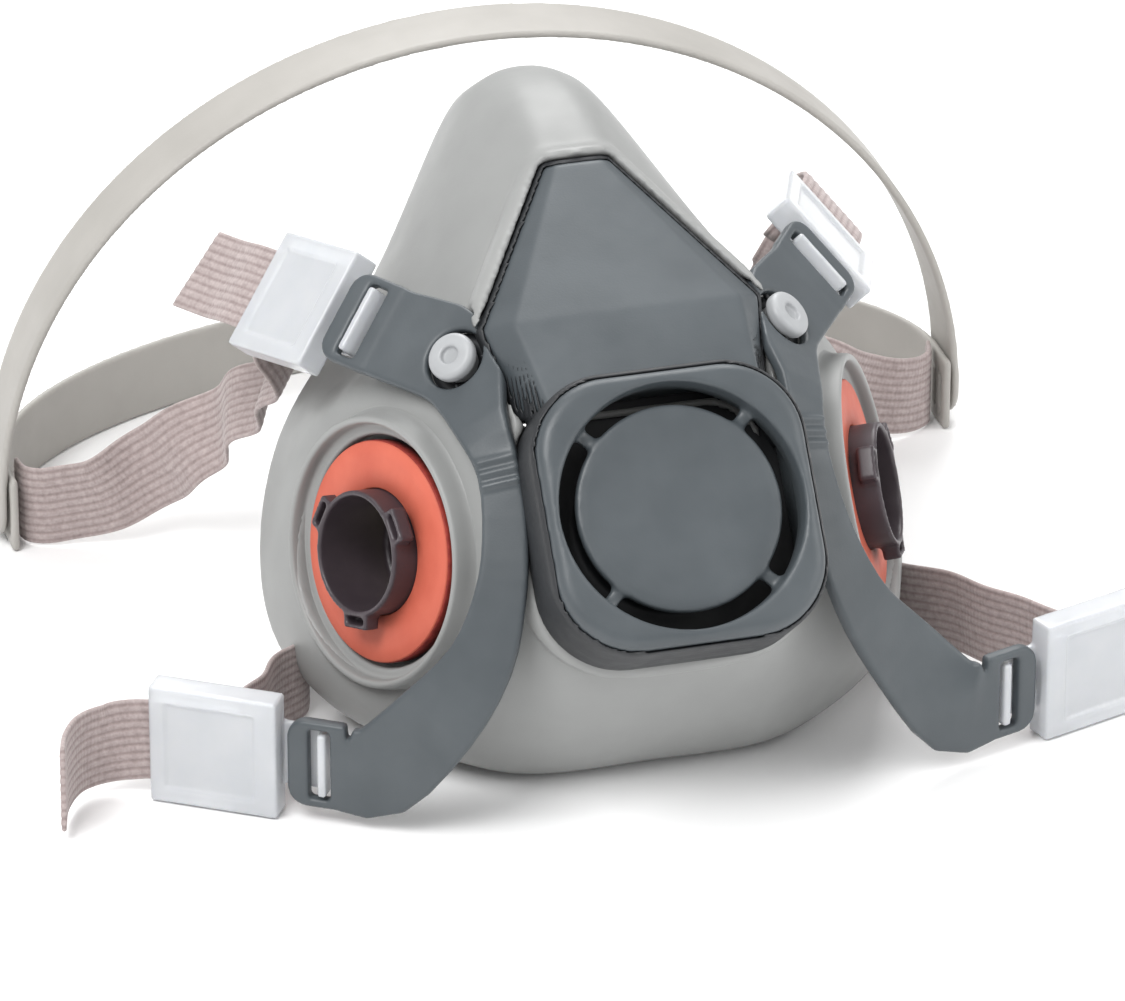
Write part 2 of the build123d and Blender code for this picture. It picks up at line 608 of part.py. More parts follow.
def lower_run(side):
    """From a lower buckle round behind the mask to the neck clip, standing on the table."""
    arm = lower_arm(side)
    _, along, normal = arm
    start = back_strand(arm) + along * (2 + RUN_GAP)
    upward = Vector(0, 0, 1)
    level = WEB_WIDTH / 2 + 0.5
    gap = CLIP_HALF + 0.1 if side < 0 else CLIP_HALF + 0.4
    turn = start + along * 4 - normal * 3
    stations = [
        (start, upward, WEB_WIDTH),
        (Vector(turn.X, turn.Y, start.Z - 1), upward, WEB_WIDTH),
        (Vector(turn.X - side * 1, turn.Y + 7, start.Z - 2), upward, WEB_WIDTH),
        (Vector(turn.X - side * 9, turn.Y + 14, level), upward, WEB_WIDTH),
        (Vector(side * (HALF_FACE + 6), 30, level), upward, WEB_WIDTH),
        (Vector(side * (HALF_FACE - 8), 44, level), upward, WEB_WIDTH),
        (Vector(side * (HALF_FACE - 28), 56, level), upward, WEB_WIDTH),
        (Vector(side * (CLIP_HALF + 5), CLIP_Y, level), upward, WEB_WIDTH),
        (Vector(side * gap, CLIP_Y, level), upward, WEB_WIDTH),
    ]
    return strip(stations, WEB_THICK)


# ---- Cradle
def half_ellipse_band(plane, half, rise, width, thick):
    """A band bent along half an ellipse, drawn on a plane and as wide as it is extruded."""
    outer = Ellipse(half + thick / 2, rise + thick / 2)
    inner = Ellipse(half - thick / 2, rise - thick / 2)
    lower_half = Pos(0, -rise, 0) * Rectangle(4 * half, 2 * rise)
    return extrude(plane * (outer - inner - lower_half), width)


def rear_band():
    plane = Plane(origin=(0, CRADLE_Y, 0), x_dir=(1, 0, 0), z_dir=(0, 0, 1))
    band = half_ellipse_band(plane, CRADLE_HALF, REAR_BULGE, BAND_WIDTH + 1, BAND_THICK)
    for side in (-1, 1):
        low_x = side * CRADLE_HALF - BAND_THICK / 2
        tab = block(Plane.XY, (low_x, low_x + BAND_THICK), (CRADLE_Y - 8, CRADLE_Y + 0.1), (0, BAND_WIDTH + 1))
        band += tab
        for number in range(3):
            y = CRADLE_Y - 5.5 + 3.2 * number
            band -= block(Plane.XY, (low_x - 2, low_x + 4), (y, y + 1.4), (2.5, BAND_WIDTH - 3.0))
    return band


def crown_band():
    outside = CRADLE_HALF + BAND_THICK + FOLD_GAP
    plane = Plane(origin=(0, CRADLE_Y + BAND_WIDTH / 2, FOLD_HEIGHT), x_dir=(1, 0, 0), z_dir=(0, -1, 0))
    band = half_ellipse_band(plane, outside, CROWN_RISE, BAND_WIDTH, BAND_THICK)
    for side in (-1, 1):
        low_x = side * outside - BAND_THICK / 2
        hinge = Plane(origin=(low_x, CRADLE_Y, FOLD_HEIGHT), x_dir=(0, 1, 0), z_dir=(1, 0, 0))
        band += disc(hinge, BAND_WIDTH / 2, 0, BAND_THICK)
    return band


# ---- Neck clip
CLIP_PLANE = Plane(origin=(0, CLIP_Y, CLIP_HEIGHT / 2), x_dir=(1, 0, 0), z_dir=(0, 1, 0))


def neck_loop():
    half = CLIP_HEIGHT / 2
    web_half = WEB_WIDTH / 2 + 0.5
    body = block(CLIP_PLANE, (-CLIP_HALF, 2), (-half, half), (-CLIP_PLATE / 2, CLIP_PLATE / 2))
    body -= block(CLIP_PLANE, (-14.0, -11.4), (-web_half, web_half), (-5, 5))
    body -= block(CLIP_PLANE, (-8.0, -0.6), (-6.0, 6.0), (-5, 5))
    return body


def neck_hook():
    half = CLIP_HEIGHT / 2
    web_half = WEB_WIDTH / 2 + 0.5
    behind = CLIP_PLATE / 2 + HOOK_CLEARANCE
    start = 2 + CLIP_TRAVEL + 0.8
    body = block(CLIP_PLANE, (start, CLIP_HALF), (-half, half), (-CLIP_PLATE / 2, CLIP_PLATE / 2))
    body -= block(CLIP_PLANE, (11.4, 14.0), (-web_half, web_half), (-5, 5))
    body += block(CLIP_PLANE, (start, start + 2.2), (-5.4, 5.4), (-CLIP_PLATE / 2, behind + 1.6))
    body += block(CLIP_PLANE, (-3.2, start + 2.2), (-5.4, 5.4), (behind, behind + 1.6))
    body += block(CLIP_PLANE, (-3.2, -1.6), (-5.4, 5.4), (-CLIP_PLATE / 2 - 0.8, behind + 1.6))
    return body


# ---- The whole respirator
def build():
    """Every piece by name, standing on the table."""
    pieces = {}
    hard = [centre_body(), front_cowl()]
    pieces["centre_body"] = laid_back(hard[0])
    pieces["front_cowl"] = laid_back(hard[1])
    pieces["exhalation_flap"] = laid_back(exhalation_flap())
    laid_hard = [pieces["centre_body"], pieces["front_cowl"]]
    for side, name in ((-1, "left"), (1, "right")):
        pieces["port_" + name] = laid_back(port(side))
        pieces["lock_ring_" + name] = laid_back(lock_ring(side))
        pieces["gasket_" + name] = laid_back(gasket(side))
        pieces["inhalation_flap_" + name] = laid_back(inhalation_flap(side))
        pieces["yoke_" + name] = yoke(side)
        pieces["stud_" + name] = stud(side)
        laid_hard += [pieces["yoke_" + name], pieces["stud_" + name]]
        pieces["buckle_upper_" + name] = buckle(hung(upper_arm(side)))
        pieces["buckle_lower_" + name] = buckle(lower_arm(side))
        pieces["webbing_tail_upper_" + name] = webbing_tail(hung(upper_arm(side)), upper_tail_route(side))
        pieces["webbing_tail_lower_" + name] = webbing_tail(lower_arm(side), lower_tail_route(side))
        pieces["webbing_upper_" + name] = upper_run(side)
        pieces["webbing_lower_" + name] = lower_run(side)
    pieces["rear_band"] = rear_band()
    pieces["crown_band"] = crown_band()
    pieces["neck_loop"] = neck_loop()
    pieces["neck_hook"] = neck_hook()
    upright_hard = [Rot(RECLINE, 0, 0) * Pos(0, 0, -PORT_HEIGHT) * part for part in laid_hard]
    pieces["face_seal"] = laid_back(face_seal(upright_hard))
    return pieces


pieces = build()
boxes = [piece.bounding_box() for piece in pieces.values()]
low_x = min(box.min.X for box in boxes)
high_x = max(box.max.X for box in boxes)
low_y = min(box.min.Y for box in boxes)
high_y = max(box.max.Y for box in boxes)
low_z = min(box.min.Z for box in boxes)
origin = Vector((low_x + high_x) / 2, (low_y + high_y) / 2, low_z)
print("origin moved to", origin)
for name, piece in pieces.items():
    export_step(Pos(-origin.X, -origin.Y, -origin.Z) * piece, "parts/" + name + ".step")
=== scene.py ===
# %% [markdown]
# A reusable half-face respirator lies on its chin, with its head harness spread out behind it. The design comes from
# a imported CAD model: this lesson loads it, then gives every piece the shape and finish of the real moulding, fabric
# or rubber. Nothing is moved or resized, so all places are read from the model.

# %% Load the frame
import json
import math

import bpy
import numpy as np
import openvdb
from mathutils import Matrix, Vector


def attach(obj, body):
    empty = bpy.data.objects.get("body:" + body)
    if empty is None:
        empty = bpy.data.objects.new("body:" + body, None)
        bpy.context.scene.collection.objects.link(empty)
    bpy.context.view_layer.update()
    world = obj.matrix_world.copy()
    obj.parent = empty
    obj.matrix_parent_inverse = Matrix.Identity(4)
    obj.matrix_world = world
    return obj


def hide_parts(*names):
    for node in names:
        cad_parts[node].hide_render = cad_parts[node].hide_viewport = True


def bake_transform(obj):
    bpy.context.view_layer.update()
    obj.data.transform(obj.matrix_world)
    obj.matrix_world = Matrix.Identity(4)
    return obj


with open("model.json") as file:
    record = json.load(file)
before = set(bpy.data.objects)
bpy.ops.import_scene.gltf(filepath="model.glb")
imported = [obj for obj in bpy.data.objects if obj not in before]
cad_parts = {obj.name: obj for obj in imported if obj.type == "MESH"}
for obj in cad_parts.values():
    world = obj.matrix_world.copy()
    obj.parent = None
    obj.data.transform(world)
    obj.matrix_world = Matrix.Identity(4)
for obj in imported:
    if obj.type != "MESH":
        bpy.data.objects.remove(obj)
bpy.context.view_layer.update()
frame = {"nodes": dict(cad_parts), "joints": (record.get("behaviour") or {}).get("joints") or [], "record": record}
record = frame["record"]
nodes = frame["nodes"]

# %% [markdown]
# The mask is designed upright, as it is worn, and leans back when it rests on its chin. So it has its own axes:
# x across, y back towards the wearer and z up to the nose, in millimetres from a point midway between the two filter
# ports. The record's mounts say where that point is and how far the mask leans.

# %% The mask's own axes
MM = 0.001
SIDES = {"left": -1, "right": 1}
mounts = {mount["name"]: mount for mount in record["mounts"]}
joints = {joint["name"]: joint for joint in frame["joints"]}
GASKET_DROP = 1.5            # the gasket's face lies this far below the plane of the soft lip

MASK_BACK = np.array(mounts["face"]["axis"])
MASK_ACROSS = np.array([1.0, 0.0, 0.0])
MASK_UP = np.cross(MASK_ACROSS, MASK_BACK)
MASK_AXES = np.array([MASK_ACROSS, MASK_BACK, MASK_UP])


def port_mount(name):
    """A port's lip centre in the row frame, in metres, and its outward axis."""
    mount = mounts["filter_bayonet_" + name]
    axis = np.array(mount["axis"])
    return np.array(mount["pos_m"]) + axis * GASKET_DROP * MM, axis


MASK_ORIGIN = (port_mount("left")[0] + port_mount("right")[0]) / 2
LEAN = math.atan2(MASK_UP[1], MASK_UP[2])


def to_row(points):
    """Points of the upright mask, in millimetres, as points of the row frame, in metres."""
    return np.asarray(points, float) @ MASK_AXES * MM + MASK_ORIGIN


def to_mask(points):
    """Points of the row frame, in metres, as points of the upright mask, in millimetres."""
    return (np.asarray(points, float) - MASK_ORIGIN) @ MASK_AXES.T / MM


def at(across, forward, up):
    """A point or direction of the upright mask, with forward counted away from the face."""
    return np.array([across, -forward, up], float)


def unit(vector):
    vector = np.asarray(vector, float)
    return vector / np.linalg.norm(vector)


print("the mask leans back", round(math.degrees(LEAN), 1), "degrees")

# %% [markdown]
# Moulded rubber and plastic have no sharp edges: every edge carries a small round and every inner corner a fillet.
# A signed distance field gives both for free. Each shape is a block of voxels that hold the distance to its surface,
# shapes join or cut with a minimum or a maximum, a smooth minimum fillets the join, and a little averaging rounds
# what is left. OpenVDB turns closed meshes into such fields and fields back into even quads.

# %% Voxel blocks
class Block:
    """A block of voxels round one piece, in millimetres of that piece's own axes."""

    def __init__(self, low, high, voxel):
        self.voxel = voxel
        self.first = np.floor(np.array(low) / voxel).astype(int)
        self.count = np.ceil(np.array(high) / voxel).astype(int) - self.first + 1
        steps = [(self.first[i] + np.arange(self.count[i])) * voxel for i in range(3)]
        self.x, self.y, self.z = np.meshgrid(*steps, indexing="ij", sparse=True)

    def closed_mesh(self, points, triangles, reach):
        """Signed distances to a closed mesh, kept up to a reach on both sides."""
        grid = openvdb.FloatGrid.createLevelSetFromPolygons(
            np.ascontiguousarray(points, np.float32),
            triangles=np.ascontiguousarray(triangles, np.int32),
            transform=openvdb.createLinearTransform(voxelSize=self.voxel),
            halfWidth=reach / self.voxel,
        )
        field = np.full(self.count, reach, np.float32)
        grid.copyToArray(field, ijk=tuple(int(i) for i in self.first))
        return field

    def seen_from(self, origin, x_dir, z_dir):
        """Every voxel's coordinates in the axes of a plane."""
        z_dir = unit(z_dir)
        x_dir = unit(np.asarray(x_dir, float) - z_dir * np.dot(x_dir, z_dir))
        y_dir = np.cross(z_dir, x_dir)
        dx, dy, dz = self.x - origin[0], self.y - origin[1], self.z - origin[2]
        return [dx * axis[0] + dy * axis[1] + dz * axis[2] for axis in (x_dir, y_dir, z_dir)]

    def mesh(self, field):
        """Points and quads of the surface, facing outwards."""
        grid = openvdb.FloatGrid(background=float(field.max()))
        grid.transform = openvdb.createLinearTransform(voxelSize=self.voxel)
        grid.copyFromArray(np.ascontiguousarray(field, np.float32), ijk=tuple(int(i) for i in self.first))
        points, quads = grid.convertToQuads(isovalue=0)
        a, b, c, d = (points[quads[:, i]].astype(float) for i in range(4))
        volume = np.einsum("ij,ij->i", a, np.cross(b, c) + np.cross(c, d)).sum()
        return points.astype(float), quads[:, ::-1] if volume < 0 else quads


def join(first, second, fillet=0.0):
    """The union of two fields, with a fillet of about that radius."""
    if fillet <= 0:
        return np.minimum(first, second)
    mix = np.clip(0.5 + 0.5 * (second - first) / fillet, 0, 1)
    return second * (1 - mix) + first * mix - fillet * mix * (1 - mix)


def cut(body, tool, rounding=0.0):
    """A field with another one taken away."""
    return -join(-body, tool, rounding)


def shared(first, second, rounding=0.0):
    """What two fields have in common."""
    return -join(-first, -second, rounding)


def soften(field, times):
    """Rounds edges and inner corners by averaging neighbours."""
    for _ in range(times):
        for axis in range(3):
            ahead = np.concatenate([field.take(range(1, field.shape[axis]), axis), field.take([-1], axis)], axis)
            behind = np.concatenate([field.take([0], axis), field.take(range(field.shape[axis] - 1), axis)], axis)
            field = 0.25 * ahead + 0.5 * field + 0.25 * behind
    return field


def disc_field(a, b, c, radius, low, high):
    """A round disc or rod between two heights."""
    return np.maximum(np.hypot(a, b) - radius, np.maximum(low - c, c - high))


def ring_field(a, b, c, outer, inner, low, high):
    reach = np.hypot(a, b)
    return np.maximum(np.maximum(reach - outer, inner - reach), np.maximum(low - c, c - high))


def box_field(a, b, c, x_range, y_range, z_range):
    sides = []
    for value, (low, high) in ((a, x_range), (b, y_range), (c, z_range)):
        sides.append(np.maximum(low - value, value - high))
    return np.maximum(np.maximum(sides[0], sides[1]), sides[2])


# %% [markdown]
# Each piece becomes a Blender object here. A finished object sits at the origin with its place in its mesh, it rides
# on the body that carries it, and the CAD node it stands for is hidden.

# %% Make and place a piece
def piece(name, points, faces, material, body, stands_for=()):
    """A smooth-shaded mesh piece from points in metres."""
    mesh = bpy.data.meshes.new(name)
    mesh.from_pydata(np.asarray(points).tolist(), [], np.asarray(faces).tolist() if len(faces) else [])
    mesh.polygons.foreach_set("use_smooth", [True] * len(mesh.polygons))
    mesh.materials.append(material)
    mesh.update()
    made = bpy.data.objects.new(name, mesh)
    bpy.context.collection.objects.link(made)
    if body:
        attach(made, body)
    if stands_for:
        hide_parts(*([stands_for] if isinstance(stands_for, str) else stands_for))
    print(name, len(mesh.polygons), "faces")
    return made


def node_mesh(name):
    """A CAD node's points in the upright mask's millimetres, and its triangles, merged."""
    mesh = nodes[name].data
    mesh.calc_loop_triangles()
    points = np.array([vertex.co[:] for vertex in mesh.vertices])
    triangles = np.array([triangle.vertices[:] for triangle in mesh.loop_triangles])
    keys = np.round(points * 1e6).astype(np.int64)
    _, first, merged = np.unique(keys, axis=0, return_index=True, return_inverse=True)
    triangles = merged.reshape(-1)[triangles]
    keep = (triangles[:, 0] != triangles[:, 1]) & (triangles[:, 1] != triangles[:, 2])
    keep &= triangles[:, 0] != triangles[:, 2]
    return to_mask(points[first]), triangles[keep]


def block_round(points, margin, voxel):
    return Block(points.min(axis=0) - margin, points.max(axis=0) + margin, voxel)


# %% [markdown]
# Finishes come before shapes, so that each piece can be made in its own. A moulded material is never one flat colour:
# the pigment drifts a little from place to place, the tool's texture breaks up the gloss, and handling polishes it
# unevenly. One small function adds a shader node with its settings and its links, and every finish below uses it.

# %% Colours and shader nodes
def srgb(code):
    """A hex colour as linear red, green, blue and alpha."""
    values = [int(code[i:i + 2], 16) / 255 for i in (1, 3, 5)]
    return [v / 12.92 if v <= 0.04045 else ((v + 0.055) / 1.055) ** 2.4 for v in values] + [1.0]


def add(tree, kind, settings=None, inputs=None):
    """Adds a node. An input takes a value or another node's output."""
    node = tree.nodes.new(kind)
    for key, value in (settings or {}).items():
        setattr(node, key, value)
    for key, value in (inputs or {}).items():
        if isinstance(value, bpy.types.NodeSocket):
            tree.links.new(value, node.inputs[key])
        else:
            node.inputs[key].default_value = value
    return node


def new_material(name):
    material = bpy.data.materials.new(name)
    material.use_nodes = True
    tree = material.node_tree
    return material, tree, tree.nodes["Principled BSDF"]


def noise(tree, vector, size_mm, detail=2.0, roughness=0.5):
    """A noise whose patches are about so many millimetres across."""
    settings = {"Vector": vector, "Scale": 1 / (size_mm * MM), "Detail": detail, "Roughness": roughness}
    return add(tree, "ShaderNodeTexNoise", None, settings).outputs["Fac"]


def tint(tree, factor, first, second):
    """A colour between two, by a factor."""
    mix = add(tree, "ShaderNodeMix", {"data_type": "RGBA"})
    tree.links.new(factor, mix.inputs[0])
    mix.inputs[6].default_value = srgb(first)
    mix.inputs[7].default_value = srgb(second)
    return mix.outputs[2]


def span(tree, value, low, high, from_low=0.3, from_high=0.7):
    """Spreads a value between two limits."""
    inputs = {"Value": value, "From Min": from_low, "From Max": from_high, "To Min": low, "To Max": high}
    return add(tree, "ShaderNodeMapRange", None, inputs).outputs[0]


def bump(tree, height, depth_mm, normal=None, strength=1.0):
    inputs = {"Height": height, "Distance": depth_mm * MM, "Strength": strength}
    if normal is not None:
        inputs["Normal"] = normal
    return add(tree, "ShaderNodeBump", None, inputs).outputs[0]


def moulded(name, light, dark, gloss, grain_mm, grain_depth, patch_mm=14.0, **constants):
    """A moulded finish: drifting pigment, a gloss that varies and the grain of the tool."""
    material, tree, shader = new_material(name)
    place = add(tree, "ShaderNodeTexCoord").outputs["Object"]
    drift = span(tree, noise(tree, place, patch_mm, 3.0), 0.0, 1.0)
    tree.links.new(tint(tree, drift, light, dark), shader.inputs["Base Color"])
    handled = noise(tree, place, patch_mm * 0.45, 4.0, 0.6)
    tree.links.new(span(tree, handled, gloss[0], gloss[1]), shader.inputs["Roughness"])
    flow = bump(tree, noise(tree, place, patch_mm * 0.6, 1.0), 0.05)
    grain = bump(tree, noise(tree, place, grain_mm, 2.0, 0.6), grain_depth, flow)
    tree.links.new(grain, shader.inputs["Normal"])
    for key, value in constants.items():
        shader.inputs[key.replace("_", " ")].default_value = value
    return material


# %% [markdown]
# The face seal is a thermoplastic elastomer: soft, light grey, and satin from a finely textured tool. The yokes and
# the cowl are glass-filled nylon with a spark-eroded grain of about a third of a millimetre, drawn a little coarser
# so that it shows. The bayonets are a darker nylon, and the gaskets are pressed silicone rubber.

# %% Moulded finishes
elastomer = moulded("satin_elastomer", "#969796", "#8d8e8d", (0.4, 0.52), 0.55, 0.012, 22.0, IOR=1.5)
elastomer.node_tree.nodes["Principled BSDF"].inputs["Subsurface Weight"].default_value = 0.06
elastomer.node_tree.nodes["Principled BSDF"].inputs["Subsurface Radius"].default_value = (0.004, 0.004, 0.004)
nylon = moulded("grained_grey_nylon", "#4b5155", "#43494d", (0.38, 0.5), 0.42, 0.02, 12.0, IOR=1.53)
# This black nylon is the real colour of the centre body. It also serves as painted shade: the dark band round the cowl
# and the dark ring under each stud stand for shadow in gaps.
dark_nylon_and_painted_shade = moulded("black_nylon_and_painted_shade", "#26282b", "#1d1f22", (0.45, 0.6), 0.5, 0.02, 12.0, IOR=1.53)
port_nylon = moulded("dark_bayonet_nylon", "#463d42", "#3a3237", (0.34, 0.46), 0.4, 0.012, 9.0, IOR=1.53)
stud_elastomer = moulded("pale_elastomer", "#a9abad", "#9fa1a3", (0.36, 0.48), 0.5, 0.008, 6.0, IOR=1.5)
gasket_face = moulded("pressed_silicone", "#cf6a55", "#c45f4b", (0.52, 0.66), 0.5, 0.02, 9.0, IOR=1.41)
# The darker red of the gasket's side is painted shade; the coarse bump is the texture of its cut.
gasket_side_painted_shade = moulded("cut_silicone_side_and_painted_shade", "#a63d33", "#7e2a26", (0.6, 0.8), 0.7, 0.12, 1.6, IOR=1.41)
flap_silicone = moulded("waxy_silicone", "#d6cdaf", "#c9bf9f", (0.3, 0.42), 0.6, 0.006, 5.0, IOR=1.41)
cradle_plastic = moulded("satin_cradle_polymer", "#a9a6a1", "#a09d98", (0.44, 0.58), 0.6, 0.014, 18.0, IOR=1.5)

# %% [markdown]
# The buckles are unpigmented nylon: milky, glossy and a little see-through. Some light passes the wall and the rest
# scatters inside it, so the shader mixes transmission with subsurface scattering.

# %% Translucent nylon
milky_nylon = moulded("milky_nylon", "#e6e8eb", "#dfe2e6", (0.16, 0.26), 1.2, 0.002, 9.0, IOR=1.53)
milky_shader = milky_nylon.node_tree.nodes["Principled BSDF"]
milky_shader.inputs["Transmission Weight"].default_value = 0.4
milky_shader.inputs["Subsurface Weight"].default_value = 0.35
milky_shader.inputs["Subsurface Radius"].default_value = (0.003, 0.003, 0.0034)

# %% [markdown]
# The webbing is elastic braid: rubber cords run lengthwise under a knitted cover. The mesh itself has the cords as
# ribs. The material follows the webbing's own UV map, in metres along and across, and adds the stitches of the
# cover, 0.9 mm apart, with a mauve-grey yarn that varies, painted shade that darkens the yarn in the grooves between
# the cords, and a soft sheen from its loose fibres.

# %% Elastic webbing
RIB_PITCH = 1.6
STITCH_PITCH = 0.9


def elastic_braid():
    material, tree, shader = new_material("elastic_braid")
    along_and_across = add(tree, "ShaderNodeUVMap", {"uv_map": "along_across"}).outputs["UV"]
    parts = add(tree, "ShaderNodeSeparateXYZ", None, {"Vector": along_and_across})
    place = add(tree, "ShaderNodeTexCoord").outputs["Object"]
    wobble = noise(tree, along_and_across, 3.0, 2.0)
    shifted = add(tree, "ShaderNodeMath", {"operation": "MULTIPLY_ADD"},
                  {0: wobble, 1: STITCH_PITCH * MM, 2: parts.outputs[0]}).outputs[0]
    turns = add(tree, "ShaderNodeMath", {"operation": "MULTIPLY"}, {0: shifted, 1: math.tau / (STITCH_PITCH * MM)})
    stitch = add(tree, "ShaderNodeMath", {"operation": "SINE"}, {0: turns.outputs[0]}).outputs[0]
    across = add(tree, "ShaderNodeMath", {"operation": "MULTIPLY"},
                 {0: parts.outputs[1], 1: math.tau / (RIB_PITCH * MM)})
    rib = add(tree, "ShaderNodeMath", {"operation": "COSINE"}, {0: across.outputs[0]}).outputs[0]
    # Between the cords the yarn is multiplied darker: this is painted shade in the grooves.
    groove = span(tree, rib, 0.0, 1.0, -1.0, 0.2)
    yarn = tint(tree, span(tree, noise(tree, place, 1.1, 4.0, 0.7), 0.0, 1.0), "#b5a8a6", "#9b8e8c")
    groove_painted_shade = add(tree, "ShaderNodeMix", {"data_type": "RGBA", "blend_type": "MULTIPLY"})
    tree.links.new(span(tree, groove, 0.0, 0.42, 1.0, 0.0), groove_painted_shade.inputs[0])
    tree.links.new(yarn, groove_painted_shade.inputs[6])
    groove_painted_shade.inputs[7].default_value = srgb("#b3a6a5")
    tree.links.new(groove_painted_shade.outputs[2], shader.inputs["Base Color"])
    weave = bump(tree, stitch, 0.02)
    fuzz = bump(tree, noise(tree, place, 0.5, 3.0, 0.7), 0.09, weave)
    tree.links.new(fuzz, shader.inputs["Normal"])
    shader.inputs["Roughness"].default_value = 0.86
    shader.inputs["Sheen Weight"].default_value = 0.25
    shader.inputs["Sheen Roughness"].default_value = 0.5
    shader.inputs["Specular IOR Level"].default_value = 0.3
    return material


braid = elastic_braid()
thread = moulded("sewing_thread", "#cfc6c2", "#b9afab", (0.6, 0.75), 0.3, 0.03, 2.0)

# %% [markdown]
# The moulding of the face seal starts as a loft through six outlines, each across the mask at its own depth. The
# outlines run from the sealing edge to the seat of the cowl. Between their points they follow smooth curves, and
# between the outlines too, so the cheeks, the chin and the nose flow into each other.

# %% Curves and lofts
def curve_weights(t):
    return np.array([-t + 2 * t**2 - t**3, 2 - 5 * t**2 + 3 * t**3, t + 4 * t**2 - 3 * t**3, -t**2 + t**3]) / 2


def smooth_curve(points, steps, closed=False):
    """A curve through points, or through rows of points, with so many steps from one to the next."""
    points = np.asarray(points, float)
    count = len(points)
    result = []
    for number in range(count if closed else count - 1):
        indices = [number + shift for shift in (-1, 0, 1, 2)]
        indices = [i % count if closed else min(max(i, 0), count - 1) for i in indices]
        for step in range(steps):
            result.append(np.tensordot(curve_weights(step / steps), points[indices], axes=1))
    if not closed:
        result.append(points[-1])
    return np.array(result)


def loft_mesh(loops):
    """Points and triangles of a closed body through loops of points."""
    rows, count = len(loops), len(loops[0])
    points = np.concatenate(list(loops) + [[loops[0].mean(axis=0)], [loops[-1].mean(axis=0)]])
    triangles = []
    for row in range(rows - 1):
        for column in range(count):
            a, b = row * count + column, row * count + (column + 1) % count
            c, d = b + count, a + count
            triangles += [(a, b, c), (a, c, d)]
    for column in range(count):
        after = (column + 1) % count
        triangles.append((rows * count, after, column))
        last = (rows - 1) * count
        triangles.append((rows * count + 1, last + column, last + after))
    return points, np.array(triangles)


# %% The face seal's bulk
SEAL_WALL = 3.4
FACE_BACK = 37.0
LIP_TURN_IN = 10.5
SEAL_OUTLINES = [
    (-FACE_BACK, [(0, 87.2), (7, 85.5), (14, 79.8), (31.5, 52.5), (53.5, 25.5), (60.5, -2), (53, -20), (30, -25), (0, -25.2)]),
    (-24.0, [(0, 86.8), (6.5, 85.3), (13.5, 79), (30, 52.5), (50, 26), (58, -4), (51.5, -26), (30, -33), (0, -33.4)]),
    (-9.0, [(0, 79.8), (5.6, 79.0), (12, 72.5), (27.5, 48), (42.5, 24), (49, -4), (45, -29), (27, -42), (0, -43.2)]),
    (6.0, [(0, 64.6), (6.4, 64.0), (11.5, 58), (23.5, 43), (33, 26), (38, -4), (35, -27), (22, -38), (0, -40.5)]),
    (20.0, [(0, 46), (10, 45.5), (20, 42), (25.6, 34.5), (28, 17), (29, -4), (26.5, -22), (17, -31), (0, -33)]),
    (27.0, [(0, 32), (8, 32), (17, 29.5), (22, 24), (24.5, 12), (25, -3), (23, -18), (15, -26), (0, -28)]),
]


def seal_bulk(past_edge):
    """The closed outer form, carried on behind the sealing edge so that only its flanks count there."""
    loops = []
    for forward, half in SEAL_OUTLINES:
        loop = half + [(-x, up) for x, up in half[-2:0:-1]]
        ring = smooth_curve(loop, 6, closed=True)
        loops.append(np.array([at(x, forward, up) for x, up in ring]))
    behind = loops[0] + at(0, -past_edge, 0)
    return loft_mesh(np.concatenate([[behind], smooth_curve(loops, 5)]))


# %% [markdown]
# Round each filter port the seal swells into a bowl, a turned form whose axis is the port's. Its outline is drawn as
# radius and height along that axis. A thin lip stands up round the gasket, and the wall behind it is what the port
# is clamped to.

# %% Turned forms
PORT_TURN = math.atan2(abs(to_mask(MASK_ORIGIN + port_mount("right")[1])[0]),
                       -to_mask(MASK_ORIGIN + port_mount("right")[1])[1])
PORT_X = abs(to_mask(port_mount("right")[0])[0])
GASKET_RADIUS = 20.0
RECESS_RADIUS = 22.6
LIP_RADIUS = 24.1
RECESS_FLOOR = -4.5
CHEEK_FACE = -6.5
LOCK_FACE = -12.0
TUBE_RADIUS = 11.35
BORE_RADIUS = 10.35
BOWL_PROFILE = [(33.4, -30), (33.4, -17), (33.0, -11.5), (32.0, -8.2), (30.2, -6.0), (28.2, -5.0), (26.6, -4.6), (25.4, -4.4)]


def port_axes(side):
    """Origin, upward direction and outward axis of a port, in the mask's millimetres."""
    axis = at(side * math.sin(PORT_TURN), math.cos(PORT_TURN), 0)
    return at(side * PORT_X, 0, 0), at(0, 0, 1), axis


def lathe(profile, origin, x_dir, axis, steps=96, closed=True):
    """Points and quads of a profile of (radius, height) turned about an axis."""
    x_dir, axis = unit(x_dir), unit(axis)
    y_dir = np.cross(axis, x_dir)
    turns = [math.tau * step / steps for step in range(steps)]
    points = [np.asarray(origin) + axis * h + (x_dir * math.cos(t) + y_dir * math.sin(t)) * r
              for t in turns for r, h in profile]
    count = len(profile)
    quads = []
    for step in range(steps):
        here, there = step * count, (step + 1) % steps * count
        for number in range(count if closed else count - 1):
            after = (number + 1) % count
            quads.append((here + number, there + number, there + after, here + after))
    return np.array(points), quads


def turned_bulk(profile, origin, x_dir, axis):
    """A closed turned body: the profile's ends are joined straight to the axis."""
    points, quads = lathe(profile, origin, x_dir, axis, 120, closed=False)
    count, steps = len(profile), 120
    base = len(points)
    points = np.vstack([points, np.asarray(origin) + unit(axis) * profile[0][1],
                        np.asarray(origin) + unit(axis) * profile[-1][1]])
    triangles = [t for a, b, c, d in quads for t in ((a, b, c), (a, c, d))]
    for step in range(steps):
        here, there = step * count, (step + 1) % steps * count
        triangles += [(base, there, here), (base + 1, here + count - 1, there + count - 1)]
    return points, np.array(triangles)


